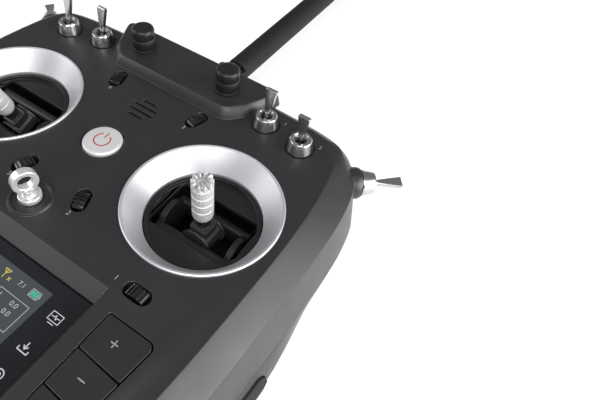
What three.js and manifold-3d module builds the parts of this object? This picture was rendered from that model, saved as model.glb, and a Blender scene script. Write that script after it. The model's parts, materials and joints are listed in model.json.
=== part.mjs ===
// Radio transmitter controller: a hand-held two-stick radio for models, lying on its back.
// Millimetres. +X is the user's right, +Y points to the antenna, +Z comes out of the face.
// Inside the layout group the face plane is z = 0; the group is lifted so that the back rests on z = 0.

import * as THREE from 'three';
import { mergeVertices } from 'three/addons/utils/BufferGeometryUtils.js';
import Module from 'manifold-3d';

const wasm = await Module();
wasm.setup();

const DEGREE = Math.PI / 180;
const SIDES = [['left', -1], ['right', 1]];

// ---- Body shell
const BODY_DEPTH = 52;
const WALL = 2.6;
const FACE_HALF_WIDTH = 87.5;
const FACE_REAR_Y = 62;
const FACE_FRONT_Y = -104;
const FACE_EDGE_DROP = 1.5;
const FACE_EDGE_FLARE = 1.9;
const FACE_EDGE_TUCK = 0.4;
const SHOULDER_DEPTH = 7;
const SHOULDER_FLARE = 9.6;
const SHOULDER_REAR = 5.6;
const SHOULDER_FRONT = 3;
const SEAM_DEPTH = 27;
const SEAM_FLARE = 3.5;
const BACK_ROUND = 7;
const BACK_TUCK = 13;
const GRIP_BULGE = 3.2;
const GRIP_PAD = { rearY: -28, frontY: -88, low: 20, high: 3.5, corner: 5, insideX: 55 };
const OUTER_STEPS = 5;
const INNER_STEPS = 2;

// ---- Fits
const FIT = 0.3;
const SLIDE_FIT = 0.45;

// ---- Raised deck that carries the two knobs
const DECK_HEIGHT = 4.5;
const DECK_FRONT_Y = 43.4;
const DECK_REAR_Y = 67.2;
const DECK_FRONT_HALF = 35.4;
const DECK_REAR_HALF = 44.2;
const DECK_TOE = 1.4;

// ---- Stick units
const BEZEL_RADIUS = 31;
const BEZEL_MARGIN = 3.8;
const BEZEL_THROAT = 23.2;
const BEZEL_DEPTH = 8;
const BEZEL_BODY_RADIUS = 29.7;
const BEZEL_SKIRT = 2;
const BEZEL_SEGMENTS = 24;
const GIMBAL_X = FACE_HALF_WIDTH - BEZEL_RADIUS - BEZEL_MARGIN;
const GIMBAL_RADIUS = 27.5;
const GIMBAL_PLATE_DEPTH = BEZEL_DEPTH + BEZEL_SKIRT + FIT;
const GIMBAL_PLATE = 2;
const GIMBAL_LENGTH = 24;
const GIMBAL_WINDOW = [36.4, 23.6];
const PIVOT_DEPTH = 19;
const STICK_TRAVEL = 24;
const THROTTLE_REST_TILT = 21;
const TRUNNION_RADIUS = 1.8;
const CHEEK_RADIUS = 8;
const CHEEK_INNER_X = 14.6;
const CHEEK_OUTER_X = 17.2;
const POST_INNER_X = 18.4;
const YOKE_BAR_INNER_Y = 5.9;
const YOKE_BAR_OUTER_Y = 10.1;
const CARRIER_PIN_RADIUS = 1.2;
const SHAFT_RADIUS = 1.6;
const TIP_START = 9.6;
const TIP_END = 34;
const TIP_RADIUS = 4.4;

// ---- Toggle switches
const NUT_RADIUS = 5.6;
const NUT_HEIGHT = 5.7;
const NUT_SEAT = 0.7;
const BUSHING_RADIUS = 3;
const LEVER_PIVOT = 1.6;
const LEVER_LENGTH = 15.6;
const LEVER_BALL = 2;
const SWITCH_BODY = [8, 12.6, 9];
const TOGGLES = [
  { name: 'inner', x: 47, y: 50.8, restTilt: { left: 10, right: 10 } },
  { name: 'outer', x: 65.9, y: 47.6, restTilt: { left: 10, right: 0 } },
];
const SIDE_SWITCH = { x: FACE_HALF_WIDTH + 4.8, y: 57, depth: 12, turn: 36.87, boss: 6.8, reach: 13.5 };

// ---- Knobs on the deck
const KNOB_AT = [23.8, 55];
const KNOB_RADIUS = 5.2;
const KNOB_HEIGHT = 10.8;
const POT_BUSHING_RADIUS = 3.2;
const POT_SHAFT_RADIUS = 1.5;
const POT_BODY = [9.6, 11];
const POT_SET_FORWARD = 1.9;

// ---- Trim rockers
const TRIM_SLOT = [6, 11];
const TRIM_PIVOT_DEPTH = 6;
const TRIM_ARC = 7.2;
const TRIM_SIDE_GAP = 0.7;
const TRIM_PIN_RADIUS = 0.8;
const TRIM_TRAY = 1.3;
const TRIM_TRAY_DEPTH = 9.6;
const TRIM_FLOOR = 1.2;
const TRIMS = [
  { name: 'upper', x: 22.3, y: 35, turn: -14 },
  { name: 'inner', x: 15.3, y: -25, turn: 21 },
  { name: 'lower', x: 58, y: -42, turn: 90 },
];

// ---- Power button, speaker and strap eyelet on the centre line
const POWER_AT_Y = 1.8;
const POWER_RADIUS = 8.4;
const BUTTON_FLANGE = 1;
const SPEAKER_AT_Y = 26;
const SPEAKER_RADIUS = 12;
const SPEAKER_SLOTS = [[31, 7.5], [27.8, 12.5], [24.6, 12.5], [21.4, 7.5]];
const EYELET_AT_Y = -35.4;
const EYELET_STUD_RADIUS = 2;
const EYELET_DISC_RADIUS = 4.2;
const EYELET_RING_RADIUS = 5;
const EYELET_HOLE_RADIUS = 2.5;
const EYELET_RING_HEIGHT = 11;
const EYELET_TURN = -20;
const EYELET_DISH_RADIUS = 8.7;

// ---- Screen
const SCREEN_HALF_WIDTH = 48;
const SCREEN_TOP_Y = -52;
const SCREEN_HEIGHT = 46.2;
const SCREEN_RECESS = 4;
const SCREEN_TOP_SLOPE = 6;
const SCREEN_SIDE_SLOPE = 1.3;
const GLASS_DEPTH = 4.8;
const GLASS_THICKNESS = 1.2;
const LCD_SIZE = [74, 41, 3.4];

// ---- Keys beside the screen
const KEY_INNER_X = 56;
const KEY_OUTER_X = 75;
const KEY_TOP_Y = -52.5;
const KEY_PITCH = 13.9;
const KEY_COUNT = 3;
const KEY_SLANT = 1.3;
const KEY_TAPER = 1.15;
const KEY_PROUD = 0.25;
const KEY_SPLIT = 0.5;

// ---- Inside
const BOARD_DEPTH = 14;
const BOARD_THICKNESS = 1.6;
const PACK_SIZE = [72, 38, 19.2];
const PACK_AT_Y = -69;
const BAY_WALL = 2;
const COVER_SIZE = [82, 54.6, 1.9];
const COVER_TOP_Y = -45;
const COVER_RAIL = 2;
const COVER_RIDGES = 5;
const COVER_RIDGE_PITCH = 2.4;
const SCREWS = [[70, 46], [74, -62], [52, -92], [24, 46]];
const SCREW_SINK_RADIUS = 2.9;
const SCREW_SINK_DEPTH = 4;
const SCREW_POST_RADIUS = 3.9;
const SCREW_POST_LENGTH = 9;

// ---- Antenna
const ANTENNA_DEPTH = 23.4;
const ANTENNA_RADIUS = 6.3;
const ANTENNA_STUB_RADIUS = 2.6;
const ANTENNA_HINGE_REACH = 23;
const ANTENNA_WHIP_LENGTH = 165;
const ANTENNA_TONGUE = 5;

const FINISHES = {
  case_plastic: { color: 0x35363a, roughness: 0.5, metalness: 0 },
  satin_silver: { color: 0xc9cbce, roughness: 0.3, metalness: 0.7 },
  chrome: { color: 0xd8dadd, roughness: 0.12, metalness: 1 },
  black_plastic: { color: 0x17181a, roughness: 0.4, metalness: 0 },
  stick_silver: { color: 0xd5d6d8, roughness: 0.3, metalness: 0.8 },
  button_silver: { color: 0xcfcfd2, roughness: 0.4, metalness: 0.2 },
  screen_glass: { color: 0x08090c, roughness: 0.05, metalness: 0 },
  antenna_rubber: { color: 0x2c2d2f, roughness: 0.6, metalness: 0 },
  grip_rubber: { color: 0x1f2022, roughness: 0.8, metalness: 0 },
  circuit_green: { color: 0x1c4a2c, roughness: 0.5, metalness: 0 },
  battery_wrap: { color: 0x2a4a80, roughness: 0.5, metalness: 0 },
};

// ---------------------------------------------------------------- solids

function solidOf(geometry) {
  const bare = geometry.clone();
  bare.deleteAttribute('normal');
  bare.deleteAttribute('uv');
  const merged = mergeVertices(bare, 1e-5);
  return new wasm.Manifold(new wasm.Mesh({
    numProp: 3,
    vertProperties: new Float32Array(merged.attributes.position.array),
    triVerts: new Uint32Array(merged.index.array),
  }));
}

function geometryOf(solid) {
  const mesh = solid.getMesh();
  const geometry = new THREE.BufferGeometry();
  geometry.setAttribute('position', new THREE.BufferAttribute(mesh.vertProperties, 3));
  geometry.setIndex(new THREE.BufferAttribute(mesh.triVerts, 1));
  return geometry;
}

function join(...geometries) {
  return geometryOf(geometries.map(solidOf).reduce((whole, piece) => whole.add(piece)));
}

function cut(base, ...tools) {
  return geometryOf(tools.map(solidOf).reduce((whole, tool) => whole.subtract(tool), solidOf(base)));
}

function common(first, second) {
  return geometryOf(solidOf(first).intersect(solidOf(second)));
}

// A turned solid about Z from an outline of [radius, z] points.
function turned(outline, segments = 32) {
  const profile = outline.map(([radius, z]) => new THREE.Vector2(radius, z));
  if (THREE.ShapeUtils.area(profile) < 0) {
    profile.reverse();
  }
  if (profile.every((point) => point.x > 0)) {
    profile.push(profile[0].clone());
  }
  return new THREE.LatheGeometry(profile, segments).rotateX(90 * DEGREE);
}

function rod(radius, low, high, segments = 24) {
  return turned([[0, low], [radius, low], [radius, high], [0, high]], segments);
}

function rodAlongX(radius, low, high, segments = 20) {
  return rod(radius, low, high, segments).rotateY(90 * DEGREE);
}

function rodAlongY(radius, low, high, segments = 20) {
  return rod(radius, -high, -low, segments).rotateX(90 * DEGREE);
}

function block(low, high) {
  const size = high.map((value, axis) => value - low[axis]);
  const middle = high.map((value, axis) => (value + low[axis]) / 2);
  return new THREE.BoxGeometry(...size).translate(...middle);
}

function slab(ring, low, high) {
  return new THREE.ExtrudeGeometry(new THREE.Shape(ring), { depth: high - low, bevelEnabled: false })
    .translate(0, 0, low);
}

// A solid through flat rings of equal point counts, each { z, ring }, from the lowest to the highest.
function loft(levels) {
  const count = levels[0].ring.length;
  const positions = levels.flatMap(({ z, ring }) => ring.flatMap((point) => [point.x, point.y, z]));
  const faces = [];
  for (let level = 0; level < levels.length - 1; level += 1) {
    for (let index = 0; index < count; index += 1) {
      const next = (index + 1) % count;
      const low = level * count;
      const high = low + count;
      faces.push(low + index, low + next, high + next);
      faces.push(low + index, high + next, high + index);
    }
  }
  const top = (levels.length - 1) * count;
  for (const [a, b, c] of THREE.ShapeUtils.triangulateShape(levels[0].ring, [])) {
    faces.push(a, c, b);
  }
  for (const [a, b, c] of THREE.ShapeUtils.triangulateShape(levels[levels.length - 1].ring, [])) {
    faces.push(top + a, top + b, top + c);
  }
  const geometry = new THREE.BufferGeometry();
  geometry.setAttribute('position', new THREE.Float32BufferAttribute(positions, 3));
  geometry.setIndex(faces);
  return geometry;
}

// A closed outline, counter-clockwise, whose corners [x, y, radius] are rounded by arcs.
function roundedPolygon(corners, steps = 4) {
  const count = corners.length;
  return corners.flatMap(([x, y, radius], index) => {
    const corner = new THREE.Vector2(x, y);
    const before = new THREE.Vector2(...corners[(index + count - 1) % count]).sub(corner).normalize();
    const after = new THREE.Vector2(...corners[(index + 1) % count]).sub(corner).normalize();
    const half = Math.acos(THREE.MathUtils.clamp(before.dot(after), -1, 1)) / 2;
    const bisector = before.clone().add(after).normalize();
    const centre = bisector.multiplyScalar(radius / Math.sin(half)).add(corner);
    const start = before.multiplyScalar(radius / Math.tan(half)).add(corner).sub(centre);
    const sweep = Math.PI - 2 * half;
    const turn = start.x * (corner.y - centre.y) - start.y * (corner.x - centre.x) > 0 ? 1 : -1;
    return Array.from({ length: steps + 1 }, (_, step) =>
      start.clone().rotateAround(new THREE.Vector2(), turn * sweep * step / steps).add(centre));
  });
}

function roundedRectangle(width, height, radius, steps = 4) {
  const x = width / 2;
  const y = height / 2;
  return roundedPolygon([[x, -y, radius], [x, y, radius], [-x, y, radius], [-x, -y, radius]], steps);
}

function mirrored(geometry, side) {
  if (side > 0) {
    return geometry;
  }
  const copy = geometryOf(solidOf(geometry)).scale(-1, 1, 1);
  const index = copy.index.array;
  for (let face = 0; face < index.length; face += 3) {
    [index[face], index[face + 1]] = [index[face + 1], index[face]];
  }
  return copy;
}

// ---------------------------------------------------------------- body outline

// Stations of the right half, front to rear: how far in from the side, then the height measured from
// the front edge, the middle or the rear edge, and how much of the corner cut and grip bulge it takes.
const STATIONS = [
  { in: 36, front: 0, grip: 0 },
  { in: 13, front: 5, grip: 0.5 },
  { in: 4, front: 18, grip: 1 },
  { in: 1.2, front: 44, grip: 1 },
  { in: 0, middle: -20, grip: 1 },
  { in: 0, middle: 5, grip: 0.1 },
  { in: 1.1, rear: 37, cutX: 0, cutY: 0 },
  { in: 3.5, rear: 20, cutX: 0.4, cutY: 0 },
  { in: 6, rear: 10.5, cutX: 1, cutY: 1 },
  { in: 10, rear: 5, cutX: 1.6, cutY: 0.7 },
  { in: 17, rear: 2.6, cutX: 1.2, cutY: 0.2 },
  { in: 40, rear: 0.6, cutX: 0, cutY: 0 },
];

function stationHeight(station, edge) {
  if (station.front !== undefined) {
    return edge.front + station.front;
  }
  if (station.middle !== undefined) {
    return station.middle;
  }
  return edge.rear - station.rear - station.cutY * edge.corner;
}

function bodyOutline({ half, rear, front, corner = 0, grip = 0 }, steps) {
  const edge = { rear, front, corner };
  const right = STATIONS.map((station) => new THREE.Vector3(
    half - station.in - (station.cutX ?? 0) * corner + (station.grip ?? 0) * grip,
    stationHeight(station, edge),
    0,
  ));
  const left = right.map((point) => new THREE.Vector3(-point.x, point.y, 0)).reverse();
  const points = [new THREE.Vector3(0, front, 0), ...right, new THREE.Vector3(0, rear, 0), ...left];
  const curve = new THREE.CatmullRomCurve3(points, true, 'centripetal');
  const count = points.length * steps;
  return Array.from({ length: count }, (_, index) => {
    const point = curve.getPoint(index / count);
    return new THREE.Vector2(point.x, point.y);
  });
}

// Outline sizes at each height of the shell.
const FACE_LEVEL = { half: FACE_HALF_WIDTH, rear: FACE_REAR_Y, front: FACE_FRONT_Y };
const SHOULDER_LEVEL = {
  half: FACE_HALF_WIDTH + SHOULDER_FLARE,
  rear: FACE_REAR_Y + SHOULDER_REAR,
  front: FACE_FRONT_Y - SHOULDER_FRONT,
  corner: 2.5,
};
const SEAM_LEVEL = {
  half: SHOULDER_LEVEL.half + SEAM_FLARE,
  rear: SHOULDER_LEVEL.rear + 0.9,
  front: SHOULDER_LEVEL.front - 1,
  corner: 4,
};

function inset(level, amount) {
  return { ...level, half: level.half - amount, rear: level.rear - amount, front: level.front + amount };
}

function shell(levels, amount = 0, steps = OUTER_STEPS) {
  return loft(levels.map(([z, level]) => ({ z, ring: bodyOutline(inset(level, amount), steps) })));
}

const REAR_LEVELS = [
  [-BODY_DEPTH, { ...inset(SEAM_LEVEL, BACK_TUCK), grip: GRIP_BULGE * 0.3 }],
  [-BODY_DEPTH + 1.6, { ...inset(SEAM_LEVEL, BACK_TUCK - 4.6), grip: GRIP_BULGE * 0.6 }],
  [-BODY_DEPTH + BACK_ROUND, { ...inset(SEAM_LEVEL, 3.6), grip: GRIP_BULGE * 1.5 }],
  [-SEAM_DEPTH - 9, { ...inset(SEAM_LEVEL, 1.2), grip: GRIP_BULGE }],
  [-SEAM_DEPTH - FIT, { ...inset(SEAM_LEVEL, 0.4), grip: 0.5 }],
];

// ---------------------------------------------------------------- places shared by several pieces

// Moves a geometry from switch axes, with Z along the lever, to the place of a side switch.
function sideSwitchMatrix(side) {
  const turn = SIDE_SWITCH.turn * DEGREE;
  const out = new THREE.Vector3(side * Math.cos(turn), Math.sin(turn), 0);
  const hinge = new THREE.Vector3(0, 0, 1).cross(out);
  return new THREE.Matrix4()
    .makeBasis(hinge, new THREE.Vector3(0, 0, 1), out)
    .setPosition(side * SIDE_SWITCH.x, SIDE_SWITCH.y, -SIDE_SWITCH.depth);
}

function trimMatrix(trim, side) {
  return new THREE.Matrix4()
    .makeRotationZ(side * trim.turn * DEGREE)
    .setPosition(side * trim.x, trim.y, 0);
}

// The key column's edges at the dividing line below key number `row`.
function keyCorners(row) {
  const innerY = KEY_TOP_Y - row * KEY_PITCH;
  const outerY = innerY - (row > 0 ? KEY_SLANT : 0);
  return { inner: [KEY_INNER_X, innerY], outer: [KEY_OUTER_X - row * KEY_TAPER, outerY] };
}

function keyOutline(first, last, grow, cornerTop, cornerBottom) {
  const top = keyCorners(first);
  const bottom = keyCorners(last);
  return roundedPolygon([
    [bottom.outer[0] + grow, bottom.outer[1] - grow, cornerBottom],
    [top.outer[0] + grow, top.outer[1] + grow, cornerTop],
    [top.inner[0] - grow, top.inner[1] + grow, 0.8],
    [bottom.inner[0] - grow, bottom.inner[1] - grow, 0.8],
  ], 3);
}

const SCREEN_BOTTOM_Y = SCREEN_TOP_Y - SCREEN_HEIGHT;
const SCREEN_MIDDLE_Y = (SCREEN_TOP_Y + SCREEN_BOTTOM_Y) / 2;
const GIMBAL_AXIS_Z = -PIVOT_DEPTH;
const REAR_WALL_Y = SEAM_LEVEL.rear;
const COVER_BOTTOM_Y = COVER_TOP_Y - COVER_SIZE[1];

// ---------------------------------------------------------------- front case

function deckRing(grow, toe = 0) {
  const front = DECK_FRONT_Y - grow - toe;
  const rear = DECK_REAR_Y + grow * 0.3;
  const right = [
    [DECK_FRONT_HALF - 4.6 + grow, front, 7],
    [DECK_FRONT_HALF + 1.6 + grow, front + 7.4, 5],
    [DECK_REAR_HALF + grow, rear, 2],
  ];
  const left = right.map(([x, y, radius]) => [-x, y, radius]).reverse();
  return roundedPolygon([...right, ...left], 4);
}

function deck(shrink, low, high) {
  return loft([
    { z: low, ring: deckRing(1.2 - shrink, DECK_TOE) },
    { z: low + 2.6, ring: deckRing(0.7 - shrink, DECK_TOE * 0.4) },
    { z: high - 1.3, ring: deckRing(0.2 - shrink) },
    { z: high, ring: deckRing(-1 - shrink) },
  ]);
}

function screenRing(growX, growTop, growBottom, radius) {
  return roundedPolygon([
    [SCREEN_HALF_WIDTH + growX, SCREEN_BOTTOM_Y - growBottom, radius],
    [SCREEN_HALF_WIDTH + growX, SCREEN_TOP_Y + growTop, radius],
    [-SCREEN_HALF_WIDTH - growX, SCREEN_TOP_Y + growTop, radius],
    [-SCREEN_HALF_WIDTH - growX, SCREEN_BOTTOM_Y - growBottom, radius],
  ], 2);
}

// The pocket goes straight down to the glass and slopes out to the face above it.
function screenPocket() {
  const bottom = screenRing(0, 0, 0, 0.6);
  return loft([
    { z: -GLASS_DEPTH - GLASS_THICKNESS - FIT, ring: bottom },
    { z: -SCREEN_RECESS, ring: bottom },
    { z: 0, ring: screenRing(SCREEN_SIDE_SLOPE, SCREEN_TOP_SLOPE, 2.2, 0.8) },
    { z: 1, ring: screenRing(SCREEN_SIDE_SLOPE, SCREEN_TOP_SLOPE, 2.2, 0.8) },
  ]);
}

function standoffs() {
  const drop = -BOARD_DEPTH + FIT;
  return [[18, 14], [65, -98.2]].flatMap(([x, y]) => SIDES.map(([, side]) =>
    rod(2.4, drop, -WALL + 0.5, 10).translate(side * x, y, 0)));
}

function eyeletDish() {
  const rim = EYELET_DISH_RADIUS;
  return turned([
    [0, -WALL], [rim, -WALL], [rim, 0], [rim - 0.4, 0.9], [rim - 1.3, 0.9], [rim - 2, -0.5],
    [rim - 3.7, -0.5], [rim - 4.2, 0.4], [0, 0.4],
  ], 36).translate(0, EYELET_AT_Y, 0);
}

function frontCase() {
  const outer = shell([
    [-SEAM_DEPTH, SEAM_LEVEL],
    [-SHOULDER_DEPTH, SHOULDER_LEVEL],
    [-FACE_EDGE_DROP, inset(FACE_LEVEL, -FACE_EDGE_FLARE)],
    [0, inset(FACE_LEVEL, FACE_EDGE_TUCK)],
  ]);
  const inner = shell([
    [-SEAM_DEPTH - 1, SEAM_LEVEL],
    [-SHOULDER_DEPTH - 1.4, SHOULDER_LEVEL],
    [-WALL, FACE_LEVEL],
  ], WALL, INNER_STEPS);
  const trays = [];
  const slots = [];
  for (const trim of TRIMS) {
    for (const [, side] of SIDES) {
      const place = trimMatrix(trim, side);
      const [width, length] = TRIM_SLOT;
      const tray = roundedRectangle(width + 2 * TRIM_TRAY, length + 2 * TRIM_TRAY, 1, 1);
      trays.push(slab(tray, -TRIM_TRAY_DEPTH, -WALL + 0.4).applyMatrix4(place));
      slots.push(slab(roundedRectangle(width, length, width / 2 - 0.1, 5), -TRIM_TRAY_DEPTH + TRIM_FLOOR, 1)
        .applyMatrix4(place));
      slots.push(rodAlongX(TRIM_PIN_RADIUS + FIT, -width / 2 - 1, width / 2 + 1, 8)
        .translate(0, 0, -TRIM_PIVOT_DEPTH).applyMatrix4(place));
    }
  }
  const holes = [];
  const bosses = [];
  for (const [, side] of SIDES) {
    holes.push(rod(BEZEL_BODY_RADIUS + FIT, -WALL - 1, 1, BEZEL_SEGMENTS).translate(side * GIMBAL_X, 0, 0));
    for (const toggle of TOGGLES) {
      holes.push(rod(NUT_RADIUS + 0.6, -NUT_SEAT, 1, 28).translate(side * toggle.x, toggle.y, 0));
      holes.push(rod(BUSHING_RADIUS + FIT, -WALL - 1, 1, 14).translate(side * toggle.x, toggle.y, 0));
    }
    const place = sideSwitchMatrix(side);
    bosses.push(turned([
      [0, -SIDE_SWITCH.reach], [SIDE_SWITCH.boss, -SIDE_SWITCH.reach],
      [SIDE_SWITCH.boss, -2.4], [NUT_RADIUS + 0.5, -NUT_SEAT], [0, -NUT_SEAT],
    ], 18).applyMatrix4(place));
    holes.push(rod(BUSHING_RADIUS + FIT, -SIDE_SWITCH.reach - 3, 2, 14).applyMatrix4(place));
    holes.push(rod(POT_BUSHING_RADIUS + FIT, -1, DECK_HEIGHT + 1, 14)
      .translate(side * KNOB_AT[0], KNOB_AT[1], 0));
    holes.push(mirrored(slab(keyOutline(0, KEY_COUNT, SLIDE_FIT, 2.6, 2.6), -WALL - 1, 1), side));
  }
  const screenFrame = slab(roundedRectangle(2 * SCREEN_HALF_WIDTH + 7, SCREEN_HEIGHT + 14, 2, 2),
    -GLASS_DEPTH - GLASS_THICKNESS - FIT - 1.2, -WALL + 0.4).translate(0, SCREEN_MIDDLE_Y + 2.4, 0);
  const lcdOpening = slab(roundedRectangle(LCD_SIZE[0] + 8, LCD_SIZE[1] + 1.4, 1, 2), -12, 0)
    .translate(0, SCREEN_MIDDLE_Y, 0);
  const speakerWall = turned([
    [SPEAKER_RADIUS + FIT, -WALL + 0.4], [SPEAKER_RADIUS + FIT, -WALL - 4],
    [SPEAKER_RADIUS + 1.5, -WALL - 4], [SPEAKER_RADIUS + 1.5, -WALL + 0.4],
  ], 20).translate(0, SPEAKER_AT_Y, 0);
  const grille = SPEAKER_SLOTS.map(([y, length]) =>
    slab(roundedRectangle(length, 0.95, 0.45, 2), -WALL - 1, 1).translate(0, y, 0));
  const hollow = cut(outer, inner);
  const raised = join(hollow, deck(0, -1.5, DECK_HEIGHT), screenFrame, speakerWall, eyeletDish(),
    ...standoffs(), ...bosses, ...trays);
  return cut(
    raised,
    deck(2.4, -WALL - 1, DECK_HEIGHT - 2.3),
    screenPocket(),
    lcdOpening,
    rod(POWER_RADIUS + SLIDE_FIT, -WALL - 1, 1, 40).translate(0, POWER_AT_Y, 0),
    rod(EYELET_STUD_RADIUS + FIT, -WALL - 1, 2, 20).translate(0, EYELET_AT_Y, 0),
    rodAlongY(ANTENNA_STUB_RADIUS + FIT, REAR_WALL_Y - 10, REAR_WALL_Y + 4)
      .translate(0, 0, -ANTENNA_DEPTH),
    ...grille,
    ...slots,
    ...holes,
  );
}

// ---------------------------------------------------------------- rear case, cover and grips

function gripRegion(side, grow) {
  const { rearY, frontY, low, high, corner, insideX } = GRIP_PAD;
  const ring = roundedPolygon([
    [rearY + grow, -SEAM_DEPTH - low - grow, corner + grow],
    [rearY + grow, -SEAM_DEPTH - high + grow, corner + grow],
    [frontY - grow, -SEAM_DEPTH - high + grow, corner + grow],
    [frontY - grow, -SEAM_DEPTH - low - grow, corner + grow],
  ], 4);
  const region = slab(ring, insideX, SEAM_LEVEL.half + 20).rotateY(90 * DEGREE).rotateX(90 * DEGREE);
  return mirrored(region, side);
}

function rearCase() {
  const outer = shell(REAR_LEVELS);
  const raise = (z) => z + (z < -BODY_DEPTH + 3 ? WALL : 0);
  const innerLevels = REAR_LEVELS.map(([z, level]) => [raise(z), level]);
  innerLevels.push([-SEAM_DEPTH + 1, inset(SEAM_LEVEL, 0.4)]);
  const hollow = cut(outer, shell(innerLevels, WALL, INNER_STEPS));
  const floorPad = common(outer, block([-COVER_SIZE[0] / 2 - 4, FACE_FRONT_Y - 20, -BODY_DEPTH],
    [COVER_SIZE[0] / 2 + 4, COVER_TOP_Y + 4, -BODY_DEPTH + 4.6]));
  const [packWidth, packHeight, packDepth] = PACK_SIZE;
  const bay = roundedRectangle(packWidth + 2 * (SLIDE_FIT + BAY_WALL), packHeight + 2 * (SLIDE_FIT + BAY_WALL), 1, 1);
  const bayInner = roundedRectangle(packWidth + 2 * SLIDE_FIT, packHeight + 2 * SLIDE_FIT, 0.6, 1);
  const coverTop = -BODY_DEPTH + FIT + COVER_SIZE[2] + FIT;
  const posts = SCREWS.flatMap(([x, y]) => SIDES.map(([, side]) =>
    rod(SCREW_POST_RADIUS, -BODY_DEPTH + 0.5, -BODY_DEPTH + SCREW_POST_LENGTH, 10).translate(side * x, y, 0)));
  const sinks = SCREWS.flatMap(([x, y]) => SIDES.map(([, side]) =>
    rod(SCREW_SINK_RADIUS, -BODY_DEPTH - 1, -BODY_DEPTH + SCREW_SINK_DEPTH, 14).translate(side * x, y, 0)));
  return cut(
    join(hollow, floorPad, slab(bay, -BODY_DEPTH + 1, -BODY_DEPTH + packDepth * 0.7).translate(0, PACK_AT_Y, 0),
      ...posts),
    slab(bayInner, -BODY_DEPTH - 1, 0).translate(0, PACK_AT_Y, 0),
    block([-COVER_SIZE[0] / 2 - SLIDE_FIT, FACE_FRONT_Y - 20, -BODY_DEPTH - 1],
      [COVER_SIZE[0] / 2 + SLIDE_FIT, COVER_TOP_Y + SLIDE_FIT, coverTop]),
    ...sinks,
    ...SIDES.map(([, side]) => cut(gripRegion(side, FIT), shell(REAR_LEVELS, 1.2))),
  );
}

function batteryCover() {
  const [width, length, thickness] = COVER_SIZE;
  const plate = slab(roundedRectangle(width, length, 1.5, 2), -BODY_DEPTH + FIT, -BODY_DEPTH + FIT + thickness)
    .translate(0, (COVER_TOP_Y + COVER_BOTTOM_Y) / 2, 0);
  const grooves = Array.from({ length: COVER_RIDGES }, (_, index) => {
    const y = COVER_TOP_Y - 8 - index * COVER_RIDGE_PITCH;
    return block([-11, y - 0.5, -BODY_DEPTH - 1], [11, y + 0.5, -BODY_DEPTH + FIT + 0.6]);
  });
  return cut(plate, ...grooves);
}

function gripPad(side) {
  const sleeve = cut(shell(REAR_LEVELS, -0.9), shell(REAR_LEVELS, 0.9));
  return common(gripRegion(side, 0), sleeve);
}

// ---------------------------------------------------------------- stick units

function bezel() {
  return turned([
    [BEZEL_THROAT, -BEZEL_DEPTH - BEZEL_SKIRT], [BEZEL_THROAT + 1.6, -BEZEL_DEPTH - BEZEL_SKIRT],
    [BEZEL_BODY_RADIUS - 0.6, -2.4], [BEZEL_BODY_RADIUS, -1.4], [BEZEL_BODY_RADIUS, FIT],
    [BEZEL_RADIUS, FIT], [BEZEL_RADIUS, 0.7], [BEZEL_RADIUS - 0.4, 1.1], [BEZEL_RADIUS - 1.3, 0.7],
    [BEZEL_THROAT, -BEZEL_DEPTH],
  ], BEZEL_SEGMENTS);
}

function gimbalHousing() {
  const plateTop = -GIMBAL_PLATE_DEPTH;
  const plateUnder = plateTop - GIMBAL_PLATE;
  const bottom = plateTop - GIMBAL_LENGTH;
  const cup = turned([
    [0, plateUnder], [GIMBAL_RADIUS - 2, plateUnder], [GIMBAL_RADIUS - 2, bottom],
    [GIMBAL_RADIUS, bottom], [GIMBAL_RADIUS, plateTop], [BEZEL_THROAT - FIT, plateTop],
    [BEZEL_THROAT - FIT, plateTop + 1.5], [BEZEL_THROAT - 2, plateTop + 1.5],
    [BEZEL_THROAT - 2, plateTop], [0, plateTop],
  ], BEZEL_SEGMENTS);
  const posts = SIDES.map(([, side]) => block(
    [Math.min(side * POST_INNER_X, side * (GIMBAL_RADIUS - 1.5)), -4.5, GIMBAL_AXIS_Z - 5],
    [Math.max(side * POST_INNER_X, side * (GIMBAL_RADIUS - 1.5)), 4.5, plateUnder + 0.5],
  ));
  return cut(
    join(cup, ...posts),
    slab(roundedRectangle(...GIMBAL_WINDOW, 2, 2), plateUnder - 0.1, plateTop + 2),
    rodAlongX(TRUNNION_RADIUS + FIT, -POST_INNER_X - 6, POST_INNER_X + 6, 10).translate(0, 0, GIMBAL_AXIS_Z),
  );
}

// The yoke, carrier and tip are drawn about the crossing point of the two stick axes.
function outerYoke() {
  const barRing = roundedPolygon([
    [YOKE_BAR_OUTER_Y, -3.5, 1.2], [YOKE_BAR_OUTER_Y, 4.1, 1.6],
    [YOKE_BAR_INNER_Y, 4.1, 1], [YOKE_BAR_INNER_Y, -3.5, 1],
  ], 2);
  const bar = slab(barRing, -CHEEK_OUTER_X + 0.1, CHEEK_OUTER_X - 0.1).rotateY(90 * DEGREE).rotateX(90 * DEGREE);
  const cheeks = SIDES.map(([, side]) => rodAlongX(CHEEK_RADIUS,
    Math.min(side * CHEEK_INNER_X, side * CHEEK_OUTER_X), Math.max(side * CHEEK_INNER_X, side * CHEEK_OUTER_X), 14));
  const pins = SIDES.map(([, side]) => rodAlongX(TRUNNION_RADIUS,
    Math.min(side * (CHEEK_OUTER_X - 1), side * (POST_INNER_X + 5)),
    Math.max(side * (CHEEK_OUTER_X - 1), side * (POST_INNER_X + 5)), 10));
  return cut(
    join(bar, bar.clone().rotateZ(180 * DEGREE), ...cheeks, ...pins),
    rodAlongY(CARRIER_PIN_RADIUS + FIT, -YOKE_BAR_OUTER_Y - 1, YOKE_BAR_OUTER_Y + 1, 10),
  );
}

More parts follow.
